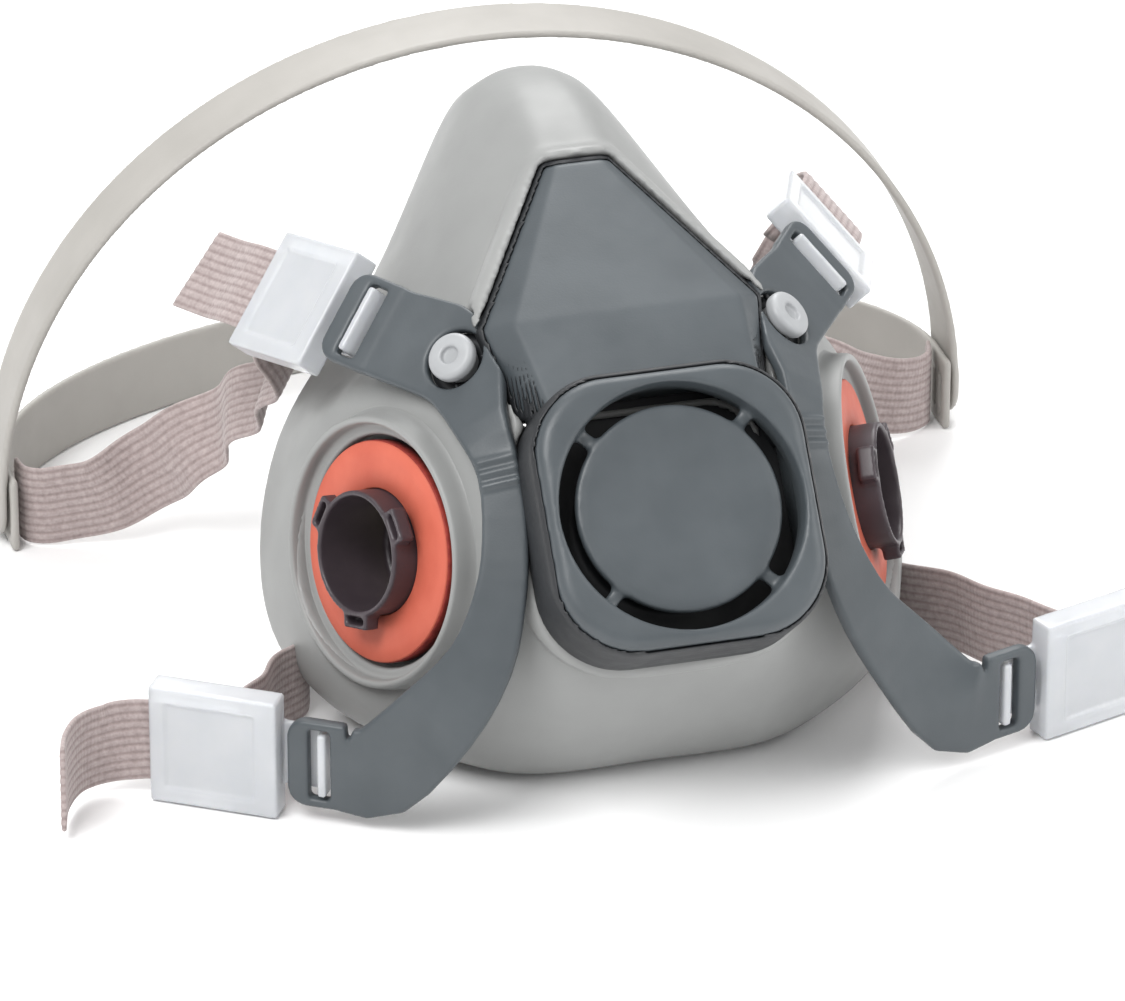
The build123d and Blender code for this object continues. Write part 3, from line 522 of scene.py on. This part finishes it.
# %% [markdown]
# Now the seal itself. The cavity is the bulk's own distance field drawn in by the wall, so the wall is even
# everywhere, and the sealing lip is left standing where a smaller opening is cut. The hard parts press their own
# shapes into the front, with a hair of clearance.

# %% Face seal
SEAL_VOXEL = 0.86
STUD_SPOTS = {name: at(side * (PORT_X - 17.0), 16.9, 30.5) for name, side in SIDES.items()}
OUTLET_TILT = math.radians(6.0)
OUTLET_AXIS = at(0, math.cos(OUTLET_TILT), math.sin(OUTLET_TILT))
OUTLET_CENTRE = at(0, 41.6, -2.2)
UPPER_NORMAL = {name: at(side * 0.59, 0.74, 0.36) for name, side in SIDES.items()}


def face_seal():
    block = Block(at(-66, 32, -46), at(66, -42, 93), SEAL_VOXEL)
    bulk = block.closed_mesh(*seal_bulk(24.0), reach=14.0)
    body = bulk
    for side in SIDES.values():
        bowl = block.closed_mesh(*turned_bulk(BOWL_PROFILE, *port_axes(side)), reach=10.0)
        body = join(body, bowl, 7.0)
    body = soften(body, 2)
    height = (block.y * MASK_AXES[1][2] + block.z * MASK_AXES[2][2]) + MASK_ORIGIN[2] / MM
    body = shared(body, -height + 0 * body, 1.6)
    body = shared(body, block.y - FACE_BACK + 0 * body, 2.0)
    hollow = np.maximum(bulk + SEAL_WALL + 0.3, block.y - (FACE_BACK - 2.4))
    hollow = join(hollow, np.maximum(bulk + LIP_TURN_IN, 28 - block.y), 2.0)
    for side in SIDES.values():
        a, b, c = block.seen_from(*port_axes(side))
        hollow = join(hollow, disc_field(a, b, c, 29.0, -36, LOCK_FACE), 3.0)
    cowl_points, cowl_triangles = node_mesh("front_cowl")
    land = block.closed_mesh(cowl_points + at(0, -3.4, 0), cowl_triangles, reach=6.0) - 3.4
    body = join(body, np.maximum(land, bulk - 2.2), 1.0)
    body = cut(body, hollow, 1.2)
    for side in SIDES.values():
        a, b, c = block.seen_from(*port_axes(side))
        body = cut(body, disc_field(a, b, c, RECESS_RADIUS, RECESS_FLOOR, 30), 0.4)
        body = cut(body, disc_field(a, b, c, GASKET_RADIUS + 0.4, CHEEK_FACE, 30))
        body = cut(body, disc_field(a, b, c, TUBE_RADIUS + 0.2, -40, 30))
    a, b, c = block.seen_from(OUTLET_CENTRE, at(1, 0, 0), OUTLET_AXIS)
    body = cut(body, disc_field(a, b, c, 16.2, -36, 30))
    for name in SIDES:
        a, b, c = block.seen_from(STUD_SPOTS[name], at(0, 0, 1), UPPER_NORMAL[name])
        body = cut(body, disc_field(a, b, c, 5.9, -4.5, 10), 0.5)
    body = cut(body, block.closed_mesh(cowl_points, cowl_triangles, reach=3.0) - 1.0)
    body = cut(body, block.closed_mesh(cowl_points + at(0, -1.5, 0), cowl_triangles, reach=3.0) - 1.0)
    for name in ("centre_body", "yoke_left", "yoke_right"):
        body = cut(body, block.closed_mesh(*node_mesh(name), reach=3.0) - 0.15)
    points, quads = block.mesh(soften(body, 1))
    return piece("face_seal", to_row(points), quads, elastomer, "mask", "face_seal")


face_seal_piece = face_seal()

# %% [markdown]
# The lip round each gasket is only a millimetre and a half thick, finer than the seal's voxels, so it is turned on
# its own from a drawn profile, with the narrow step inside it. It belongs to the same moulding and has its finish.

# %% Port lips
LIP_PROFILE = [
    (26.6, -6.7), (26.2, -4.7), (25.5, -4.0), (25.0, -3.0), (24.7, -1.4), (24.45, -0.3), (24.1, 0.05), (23.6, 0.05),
    (23.2, -0.3), (23.0, -1.2), (22.9, -2.2), (22.4, -2.6), (21.6, -2.7), (21.1, -3.0), (20.9, -3.8), (20.9, -6.7),
]


def port_lip(name, side):
    rounded = smooth_curve(LIP_PROFILE, 3)
    points, quads = lathe(rounded, *port_axes(side), steps=128)
    return piece("port_lip_" + name, to_row(points), quads, elastomer, "mask", ())


for name, side in SIDES.items():
    port_lip(name, side)


# %% [markdown]
# The hard parts come off injection tools, so their edges are barely rounded, by a few tenths of a millimetre. Each
# one starts from its own CAD solid: the solid becomes a distance field, the field is averaged, and the surface comes
# back with every edge softly broken. The grey parts are nylon, the bayonets a darker one, the buckles milky.

# %% Moulded parts from their solids
def moulded_node(name, voxel, averaging, material, body):
    points, triangles = node_mesh(name)
    block = block_round(points, 4 * voxel, voxel)
    field = soften(block.closed_mesh(points, triangles, 3.5 * voxel), averaging)
    points, quads = block.mesh(field)
    return piece("moulded_" + name, to_row(points), quads, material, body, name)


for name in SIDES:
    moulded_node("port_" + name, 0.35, 1, port_nylon, "mask")
    moulded_node("lock_ring_" + name, 0.6, 1, port_nylon, "mask")
    moulded_node("inhalation_flap_" + name, 0.25, 1, flap_silicone, "inhalation_valve_" + name)
    moulded_node("yoke_" + name, 0.35, 2, nylon, "mask")
    moulded_node("stud_" + name, 0.25, 1, stud_elastomer, "mask")
    for level in ("upper", "lower"):
        whole = "buckle_" + level + "_" + name
        moulded_node(whole, 0.32, 1, milky_nylon, whole)
moulded_node("exhalation_flap", 0.35, 1, flap_silicone, "exhalation_valve")
moulded_node("centre_body", 0.5, 1, dark_nylon_and_painted_shade, "mask")
moulded_node("neck_loop", 0.3, 2, milky_nylon, "mask")
moulded_node("neck_hook", 0.3, 2, milky_nylon, "hook")

# %% [markdown]
# The cowl is one moulding: a long faceted panel over the nose and a rounded box round the outlet. A thin rim stands
# up round the outlet's opening, and the disc inside it is set back a little. A small locating pip sits on the top
# edge. Behind the cowl runs the black edge of the body that clamps it; the dark band all round is partly that black
# edge and partly painted shade, standing for the shadow in the gap between the cowl and the seal.

# %% Cowl
def front_cowl():
    points, triangles = node_mesh("front_cowl")
    block = block_round(points, 3.0, 0.45)
    body = block.closed_mesh(points, triangles, 2.5)
    a, b, c = block.seen_from(OUTLET_CENTRE, at(1, 0, 0), OUTLET_AXIS)
    rim = ring_field(a, b, c, 23.6, 22.1, -4.0, 0.75)
    body = join(soften(body, 1), rim, 0.7)
    body = cut(body, ring_field(a, b, c, 17.9, 17.4, 0.05, 2.0), 0.2)
    points, quads = block.mesh(soften(body, 1))
    return piece("moulded_cowl", to_row(points), quads, nylon, "mask", "front_cowl")


# The dark band is partly painted shade: it stands for the shadow gap between the cowl and the seal, over the black
# edge of the body.
def cowl_black_edge_and_painted_shade():
    points, triangles = node_mesh("front_cowl")
    block = block_round(points, 5.0, 0.5)
    cowl = block.closed_mesh(points, triangles, 2.5)
    frame_field = block.closed_mesh(points + at(0, -1.5, 0), triangles, 2.5) - 0.9
    painted_shade_seat = block.closed_mesh(points + at(0, -3.2, 0), triangles, 2.5) - 0.1
    a, b, c = block.seen_from(OUTLET_CENTRE, at(1, 0, 0), OUTLET_AXIS)
    opening = disc_field(a, b, c, 24.4, -14.0, 6.0)
    dark_band = cut(join(frame_field, painted_shade_seat, 0.3), join(cowl - 0.05, opening))
    points, quads = block.mesh(dark_band)
    return piece("cowl_black_edge_and_painted_shade", to_row(points), quads, dark_nylon_and_painted_shade, "mask", ())


front_cowl()
cowl_black_edge_and_painted_shade()

# %% [markdown]
# A gasket is a flat ring of soft silicone pressed on to the bayonet. Its face is smooth and bright; its side was cut
# and is crumbly, and its darker red is painted shade. The two surfaces are turned as separate skins of one ring.

# %% Gaskets
GASKET_FACE = -GASKET_DROP
GASKET_BACK = -4.5
GASKET_BORE = 11.45


def gasket(name, side):
    face = [(GASKET_BORE, GASKET_BACK + 0.02), (GASKET_BORE, GASKET_FACE - 0.25), (GASKET_BORE + 0.25, GASKET_FACE)]
    face += [(GASKET_BORE + 4.0, GASKET_FACE + 0.02), (GASKET_RADIUS - 3.0, GASKET_FACE)]
    face += [(GASKET_RADIUS - 0.35, GASKET_FACE - 0.02), (GASKET_RADIUS - 0.08, GASKET_FACE - 0.25)]
    face += [(GASKET_RADIUS - 0.08, GASKET_BACK + 0.02)]
    points, quads = lathe(face, *port_axes(side), steps=144)
    piece("gasket_face_" + name, to_row(points), quads, gasket_face, "mask", "gasket_" + name)
    # The side skin carries the darker red, which is painted shade.
    edge = [(GASKET_RADIUS - 0.3, GASKET_BACK), (GASKET_RADIUS - 0.3, GASKET_FACE - 0.5)]
    edge += [(GASKET_RADIUS - 0.02, GASKET_FACE - 0.3), (GASKET_RADIUS + 0.05, GASKET_FACE - 0.8), (GASKET_RADIUS + 0.05, GASKET_BACK)]
    points, quads = lathe(edge, *port_axes(side), steps=144)
    piece("gasket_side_painted_shade_" + name, to_row(points), quads, gasket_side_painted_shade, "mask", ())


for name, side in SIDES.items():
    gasket(name, side)

# %% [markdown]
# The cradle is one flexible moulding: a band that goes over the crown and a second one behind the head, joined at a
# fold low on each side. Both are bent strips with rounded edges. The ends have slots for the webbing.

# %% Cradle
for name, body in (("rear_band", "mask"), ("crown_band", "crown")):
    points, triangles = node_mesh(name)
    block = block_round(points, 2.0, 0.55)
    field = soften(block.closed_mesh(points, triangles, 2.0), 1)
    points, quads = block.mesh(field)
    piece("moulded_" + name, to_row(points), quads, cradle_plastic, body, name)


# %% [markdown]
# Each buckle hooks through the slot of a yoke's arm, and the webbing turns round a bar inside it. The swing joints
# say where a buckle's hook is and which way it turns. From that come the buckle's own axes: out along the buckle,
# across it, and up from its face. The upper two hang down a little from their arms.

# %% Buckle axes
HANG = math.radians(20.0)
HOOK_AT = 4.0                # from the arm's slot out to the hinge line
HOOK_DEPTH = 1.45
WEB_WIDTH = 16.0
WEB_THICK = 1.1
BUCKLE_END = 29.6
WEB_BAR_AT = 11.6
WEB_BAR_DEPTH = -1.2
WEB_TURN = 1.65              # from the bar's axis to the middle of the webbing round it
TABLE_ORIGIN = np.array([MASK_ORIGIN[0], MASK_ORIGIN[1], 0.0])
LOWER_ALONG = {"left": [-0.84, 0.54, 0.0], "right": [0.95, 0.31, 0.0]}


def from_table(points):
    """Points on the table, in millimetres from below the ports, as points of the row frame, in metres."""
    return np.asarray(points, float) * MM + TABLE_ORIGIN


def buckle_axes(level, name):
    joint = joints["buckle_" + level + "_" + name + "_swing"]
    axis = unit(joint["axis"])
    if level == "upper":
        along = at(SIDES[name] * 0.556, -0.685, 0.466) @ MASK_AXES
    else:
        along = np.array(LOWER_ALONG[name])
    along = unit(along - axis * np.dot(along, axis))
    normal = np.cross(axis, along)
    if level == "upper":
        along, normal = along * math.cos(HANG) - normal * math.sin(HANG), normal * math.cos(HANG) + along * math.sin(HANG)
    hinge = (np.array(joint["pos_m"]) - TABLE_ORIGIN) / MM
    return hinge - along * HOOK_AT + normal * HOOK_DEPTH, along, np.cross(normal, along), normal


def in_buckle(axes, along, across, above):
    return axes[0] + axes[1] * along + axes[2] * across + axes[3] * above


# %% [markdown]
# The webbing is modelled directly as a ribbon: stations say where its middle runs and which way its width points,
# and a smooth curve goes through them. Its section has a raised cord every 1.6 mm and rounded selvedges. Elastic
# that was stretched and let go never lies quite flat, so a run can carry a shallow ripple.

# %% Ribbons
CORD_HEIGHT = 0.16
ACROSS_STEPS = 80
ALONG_STEP = 0.7


def even_steps(rows, step):
    """Rows of numbers, of which the first three are a place, at even steps along the way."""
    lengths = np.concatenate([[0], np.cumsum(np.linalg.norm(np.diff(rows[:, :3], axis=0), axis=1))])
    wanted = np.linspace(0, lengths[-1], max(int(lengths[-1] / step), 2))
    return np.array([np.interp(wanted, lengths, rows[:, i]) for i in range(rows.shape[1])]).T, wanted


def ribbon(name, stations, body, stands_for, ripple=0.0, ripple_pitch=18.0, skew=0.0):
    """A length of webbing through stations of (middle, width direction). Returns it with its length in millimetres."""
    rows = smooth_curve([list(middle) + list(across) for middle, across in stations], 10)
    rows, lengths = even_steps(rows, ALONG_STEP)
    middles, across = rows[:, :3], rows[:, 3:]
    tangents = np.gradient(middles, axis=0)
    tangents /= np.linalg.norm(tangents, axis=1)[:, None]
    across = across - tangents * np.einsum("ij,ij->i", across, tangents)[:, None]
    across /= np.linalg.norm(across, axis=1)[:, None]
    normals = np.cross(tangents, across)
    if ripple:
        share = np.sin(math.pi * np.clip(lengths / lengths[-1], 0, 1))
        middles = middles + normals * (ripple * share * np.sin(math.tau * lengths / ripple_pitch))[:, None]
    w = np.linspace(-WEB_WIDTH / 2, WEB_WIDTH / 2, ACROSS_STEPS + 1)
    edge = np.sqrt(np.clip(1 - (np.abs(w) / (WEB_WIDTH / 2 + 0.02)) ** 24, 0, 1))
    cords = 0.5 + 0.5 * np.cos(math.tau * w / RIB_PITCH)
    top = (WEB_THICK / 2 - CORD_HEIGHT + CORD_HEIGHT * np.sqrt(cords)) * edge
    section = [(w[i], top[i]) for i in range(len(w))] + [(w[i], -top[i]) for i in range(len(w) - 1, -1, -1)]
    count = len(section)
    points, places = [], []
    for number in range(len(middles)):
        for value, height in section:
            slant = skew * value * max(0.0, 1 - (lengths[-1] - lengths[number]) / 8.0)
            shift = tangents[number] * slant
            points.append(middles[number] + across[number] * value + normals[number] * height + shift)
            places.append((lengths[number] * MM, (value + WEB_WIDTH / 2) * MM))
    faces = []
    for row in range(len(middles) - 1):
        here, there = row * count, (row + 1) * count
        faces += [(here + i, here + (i + 1) % count, there + (i + 1) % count, there + i) for i in range(count)]
    last = (len(middles) - 1) * count
    for i in range(ACROSS_STEPS):
        a, b = i, count - 1 - i
        faces += [(a, b, b - 1, a + 1), (last + a, last + a + 1, last + b - 1, last + b)]
    made = piece(name, from_table(points), faces, braid, body, stands_for)
    layer = made.data.uv_layers.new(name="along_across")
    corners = np.zeros(len(made.data.loops), np.int32)
    made.data.loops.foreach_get("vertex_index", corners)
    layer.data.foreach_set("uv", np.array(places)[corners].astype(np.float32).ravel())
    print(name, "length", round(lengths[-1], 1), "mm")
    return made, lengths[-1]


# %% [markdown]
# In each buckle the webbing comes in behind, turns round the bar and leaves in front as a loose tail. The upper
# tails stand out past the buckle with a slanted cut; the left lower one curls forward over the table. This stretch
# moves with its buckle.

# %% Webbing in the buckles
BEYOND = {
    ("upper", "left"): [(36, 1.3), (43, 0.8), (50.5, 2.2)],
    ("upper", "right"): [(35, 1.8), (41, 1.6), (46, -1.2), (49, -5.0)],
}
LOWER_TAILS = {"left": [(-95.5, -0.8), (-101.5, -3.0), (-105.4, -8.6), (-107.4, -15.0)],
               "right": [(99.0, -17.0), (103.5, -14.0), (106.0, -8.5)]}


def webbing_in_buckle(level, name):
    axes = buckle_axes(level, name)
    side_path = [(26.0, -2.85), (19.0, -2.85), (WEB_BAR_AT + 1.5, -2.85)]
    for step in range(9):
        turn = -math.pi / 2 - math.pi * step / 8
        side_path.append((WEB_BAR_AT + WEB_TURN * math.cos(turn), WEB_BAR_DEPTH + WEB_TURN * math.sin(turn)))
    side_path += [(WEB_BAR_AT + 4, 0.45), (20.0, 0.45), (BUCKLE_END, 0.5)]
    side_path += BEYOND.get((level, name), [])
    stations = [(in_buckle(axes, along, 0, above), axes[2]) for along, above in side_path]
    if level == "lower":
        height = stations[-1][0][2]
        stations += [(np.array([x, y, height - 1.6]), axes[2]) for x, y in LOWER_TAILS[name]]
    whole = "buckle_" + level + "_" + name
    made, length = ribbon("tail_" + level + "_" + name, stations, whole, "webbing_tail_" + level + "_" + name, skew=0.12)


for level in ("upper", "lower"):
    for name in SIDES:
        webbing_in_buckle(level, name)

# %% [markdown]
# From a buckle's back the webbing runs on. An upper run drops behind the cheek, twists on to its edge and waves
# back to the cradle; a lower run stands on the table and goes round behind the mask to the neck clip. A run starts
# at its buckle and stays fixed where it is; it does not follow the buckle's motion.

# %% Webbing runs
UPPER_ROUTE = [(50.2, 51, 64.5), (47.8, 55, 56), (47.6, 62, 47.5), (50.5, 72, 38), (56.5, 82, 27), (65, 88.5, 17.5),
               (75, 91.5, 11), (84.5, 93.0, 8.8), (89.3, 95.4, 8.5), (90.6, 99.8, 8.5)]
UPPER_TWIST = [0.0, 0.05, 0.12, 0.25, 0.45, 0.7, 0.95, 1.0, 1.0, 1.0]
LOWER_ROUTE = [(67.5, 2, 10.0), (61.5, 11, 9.0), (54.5, 19, 8.4), (52.5, 30, 8.4), (47.5, 42, 8.4), (35, 53, 8.4),
               (23, 60.8, 8.9), (17.6, 62.4, 9.6), (13.4, 63.8, 10.0)]
CRADLE_UP = np.array([0.0, 0.0, 1.0])


def webbing_run(level, name):
    side = SIDES[name]
    axes = buckle_axes(level, name)
    if level == "upper":
        start = [(27.5, -2.9), (22.0, -3.2), (17.0, -5.4)] 
        route, twist = UPPER_ROUTE, UPPER_TWIST
    else:
        start = [(27.5, -2.9), (21.0, -3.3), (16.0, -6.5)]
        route, twist = LOWER_ROUTE, [1.0] * len(LOWER_ROUTE)
    sign = 1.0 if axes[2][2] > 0 else -1.0
    start = [(in_buckle(axes, along, 0, above), axes[2] * sign) for along, above in start]
    stations = list(start)
    for (x, y, z), share in zip(route, twist):
        across = unit(axes[2] * sign * (1 - share) + CRADLE_UP * share)
        stations.append((np.array([side * x, y, z]), across))
    node = "webbing_" + level + "_" + name
    ripple = 1.5 if level == "upper" else 0.6
    made, length = ribbon("run_" + level + "_" + name, stations, None, node, ripple=ripple)
    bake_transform(made)


for level in ("upper", "lower"):
    for name in SIDES:
        webbing_run(level, name)


# %% [markdown]
# Small things that repeat along a line are made with Geometry Nodes. The tree takes a path, resamples it at a given
# spacing, puts a rounded part on every point, turned along the path, varies its size a little with a fixed seed, and
# ends in plain geometry with one material. It makes the sewing that closes the webbing's ends and the pips that
# grip each stud.

# %% Parts along a path
def path_tree():
    tree = bpy.data.node_groups.new("parts_along_a_path", "GeometryNodeTree")
    face = tree.interface
    face.new_socket("Geometry", in_out="INPUT", socket_type="NodeSocketGeometry")
    for socket, kind, value in (("Spacing", "NodeSocketFloat", 0.002), ("Size", "NodeSocketVector", (0.001, 0.001, 0.001)),
                                ("Variation", "NodeSocketFloat", 0.1), ("Seed", "NodeSocketInt", 7)):
        face.new_socket(socket, in_out="INPUT", socket_type=kind).default_value = value
    face.new_socket("Material", in_out="INPUT", socket_type="NodeSocketMaterial")
    face.new_socket("Geometry", in_out="OUTPUT", socket_type="NodeSocketGeometry")
    given = add(tree, "NodeGroupInput").outputs
    curve = add(tree, "GeometryNodeMeshToCurve", None, {"Mesh": given["Geometry"]})
    points = add(tree, "GeometryNodeResampleCurve", {"mode": "LENGTH"},
                 {"Curve": curve.outputs[0], "Length": given["Spacing"]})
    along = add(tree, "FunctionNodeAlignRotationToVector", {"axis": "X"},
                {"Vector": add(tree, "GeometryNodeInputTangent").outputs[0]})
    ball = add(tree, "GeometryNodeMeshUVSphere", None, {"Segments": 12, "Rings": 8, "Radius": 0.5})
    shaped = add(tree, "GeometryNodeTransform", None, {"Geometry": ball.outputs[0], "Scale": given["Size"]})
    least = add(tree, "ShaderNodeMath", {"operation": "SUBTRACT"}, {0: 1.0, 1: given["Variation"]})
    varied = add(tree, "FunctionNodeRandomValue", {"data_type": "FLOAT"}, {"Seed": given["Seed"]})
    tree.links.new(least.outputs[0], varied.inputs[2])
    varied.inputs[3].default_value = 1.0
    placed = add(tree, "GeometryNodeInstanceOnPoints", None,
                 {"Points": points.outputs[0], "Instance": shaped.outputs[0], "Rotation": along.outputs[0]})
    tree.links.new(varied.outputs[1], placed.inputs["Scale"])
    plain = add(tree, "GeometryNodeRealizeInstances", None, {"Geometry": placed.outputs[0]})
    dressed = add(tree, "GeometryNodeSetMaterial", None, {"Geometry": plain.outputs[0], "Material": given["Material"]})
    add(tree, "NodeGroupOutput", None, {"Geometry": dressed.outputs[0]})
    return tree


PATH_TREE = path_tree()


def along_path(name, paths, spacing_mm, size_mm, material, body, closed=False):
    """Rounded parts along paths of points in metres, as one plain mesh."""
    points, edges = [], []
    for path in paths:
        first, count = len(points), len(path)
        points += [tuple(point) for point in path]
        edges += [(first + i, first + (i + 1) % count) for i in range(count if closed else count - 1)]
    mesh = bpy.data.meshes.new(name + "_path")
    mesh.from_pydata(points, edges, [])
    holder = bpy.data.objects.new(name, mesh)
    bpy.context.collection.objects.link(holder)
    modifier = holder.modifiers.new("parts", "NODES")
    modifier.node_group = PATH_TREE
    values = {"Spacing": spacing_mm * MM, "Size": [value * MM for value in size_mm], "Material": material}
    for item in PATH_TREE.interface.items_tree:
        if item.in_out == "INPUT" and item.name in values:
            modifier[item.identifier] = values[item.name]
    evaluated = holder.evaluated_get(bpy.context.evaluated_depsgraph_get())
    made = bpy.data.meshes.new_from_object(evaluated)
    holder.modifiers.remove(modifier)
    holder.data = made
    made.polygons.foreach_set("use_smooth", [True] * len(made.polygons))
    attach(holder, body)
    print(name, len(made.polygons), "faces")
    return holder


# %% Stitches at the neck clip, and a ring of painted shade with pips round each stud
STITCH_ROWS = (22.0, 24.6)
STUD_GRIP_RADIUS = 5.15

stitch_rows = []
for side in SIDES.values():
    for row in STITCH_ROWS:
        y = 61.4 - (row - 22.0) * 0.5
        heights = np.linspace(2.6, 15.2, 24)
        stitch_rows.append(from_table([(side * row, y - 0.75, z) for z in heights]))
along_path("clip_stitches", stitch_rows, 1.3, (1.05, 0.32, 0.32), thread, "mask")

for name, side in SIDES.items():
    up = at(0, 0, 1)
    normal = unit(UPPER_NORMAL[name])
    first = unit(up - normal * np.dot(up, normal))
    second = np.cross(normal, first)
    turns = np.linspace(0, math.tau, 60, endpoint=False)
    ring_path = [STUD_SPOTS[name] + (first * math.cos(t) + second * math.sin(t)) * STUD_GRIP_RADIUS - normal * 0.3
                 for t in turns]
    # The dark ring under each stud is painted shade: it stands for the shadow in the yoke's hole round the stud. Its
    # pips are dark for the same reason.
    painted_shade_seat = [(3.2, -2.6), (3.2, -1.6), (4.4, -1.5), (5.75, -1.3), (5.75, -2.6)]
    points, quads = lathe(painted_shade_seat, STUD_SPOTS[name], first, normal, steps=72)
    piece("stud_painted_shade_ring_" + name, to_row(points), quads, dark_nylon_and_painted_shade, "mask", ())
    spacing = math.tau * STUD_GRIP_RADIUS / 4.001
    along_path("stud_pips_" + name, [to_row(ring_path)], spacing, (0.9, 1.1, 2.0), dark_nylon_and_painted_shade, "mask",
               closed=True)

# %% [markdown]
# The mask stands on a plain pale floor under soft studio light, with a large soft light high on the left, a weaker
# one on the right and one behind that draws the edges. The camera looks down on it a little from the left.

# %% Floor, light and camera
CAMERA_AZIMUTH = math.radians(15.7)
CAMERA_ELEVATION = math.radians(28.0)
CAMERA_DISTANCE = 1.5
CAMERA_LENS = 266.4
CAMERA_ASIDE = 10.81
CAMERA_ABOVE = 3.33


def studio():
    material, tree, shader = new_material("pale_floor")
    place = add(tree, "ShaderNodeTexCoord").outputs["Object"]
    faint = span(tree, noise(tree, place, 60.0), 0.0, 1.0)
    tree.links.new(tint(tree, faint, "#fbfbfb", "#f9f9f9"), shader.inputs["Base Color"])
    shader.inputs["Roughness"].default_value = 0.6
    half = 3.0
    mesh = bpy.data.meshes.new("floor")
    mesh.from_pydata([(-half, -half, 0), (half, -half, 0), (half, half, 0), (-half, half, 0)], [], [(0, 1, 2, 3)])
    mesh.materials.append(material)
    floor = bpy.data.objects.new("floor", mesh)
    bpy.context.collection.objects.link(floor)
    lights = (("key", (-0.75, -0.55, 1.35), 0.8, 20), ("fill", (1.1, -0.6, 0.7), 0.9, 7), ("rim", (0.25, 1.0, 1.2), 0.9, 14))
    for name, place, size, power in lights:
        data = bpy.data.lights.new(name, "AREA")
        data.size = size
        data.energy = power
        light = bpy.data.objects.new(name, data)
        bpy.context.collection.objects.link(light)
        light.location = place
        light.rotation_euler = (Vector((0, 0, 0.05)) - Vector(place)).to_track_quat("-Z", "Y").to_euler()
    world = bpy.data.worlds.new("studio")
    world.use_nodes = True
    world.node_tree.nodes["Background"].inputs[0].default_value = (1, 1, 1, 1)
    world.node_tree.nodes["Background"].inputs[1].default_value = 0.62
    bpy.context.scene.world = world
    bpy.context.scene.view_settings.view_transform = "Standard"


def camera():
    sin_a, cos_a = math.sin(CAMERA_AZIMUTH), math.cos(CAMERA_AZIMUTH)
    sin_e, cos_e = math.sin(CAMERA_ELEVATION), math.cos(CAMERA_ELEVATION)
    right = np.array([cos_a, -sin_a, 0])
    above = np.array([sin_a * sin_e, cos_a * sin_e, cos_e])
    back = np.array([-sin_a * cos_e, -cos_a * cos_e, sin_e])
    target = MASK_ORIGIN - right * CAMERA_ASIDE * MM + above * CAMERA_ABOVE * MM
    data = bpy.data.cameras.new("camera")
    data.lens = CAMERA_LENS
    data.sensor_width = 36
    made = bpy.data.objects.new("camera", data)
    bpy.context.collection.objects.link(made)
    matrix = Matrix([list(right) + [0], list(above) + [0], list(back) + [0], [0, 0, 0, 1]]).transposed()
    matrix.translation = Vector(target + back * CAMERA_DISTANCE)
    made.matrix_world = matrix
    bpy.context.scene.camera = made


studio()
camera()
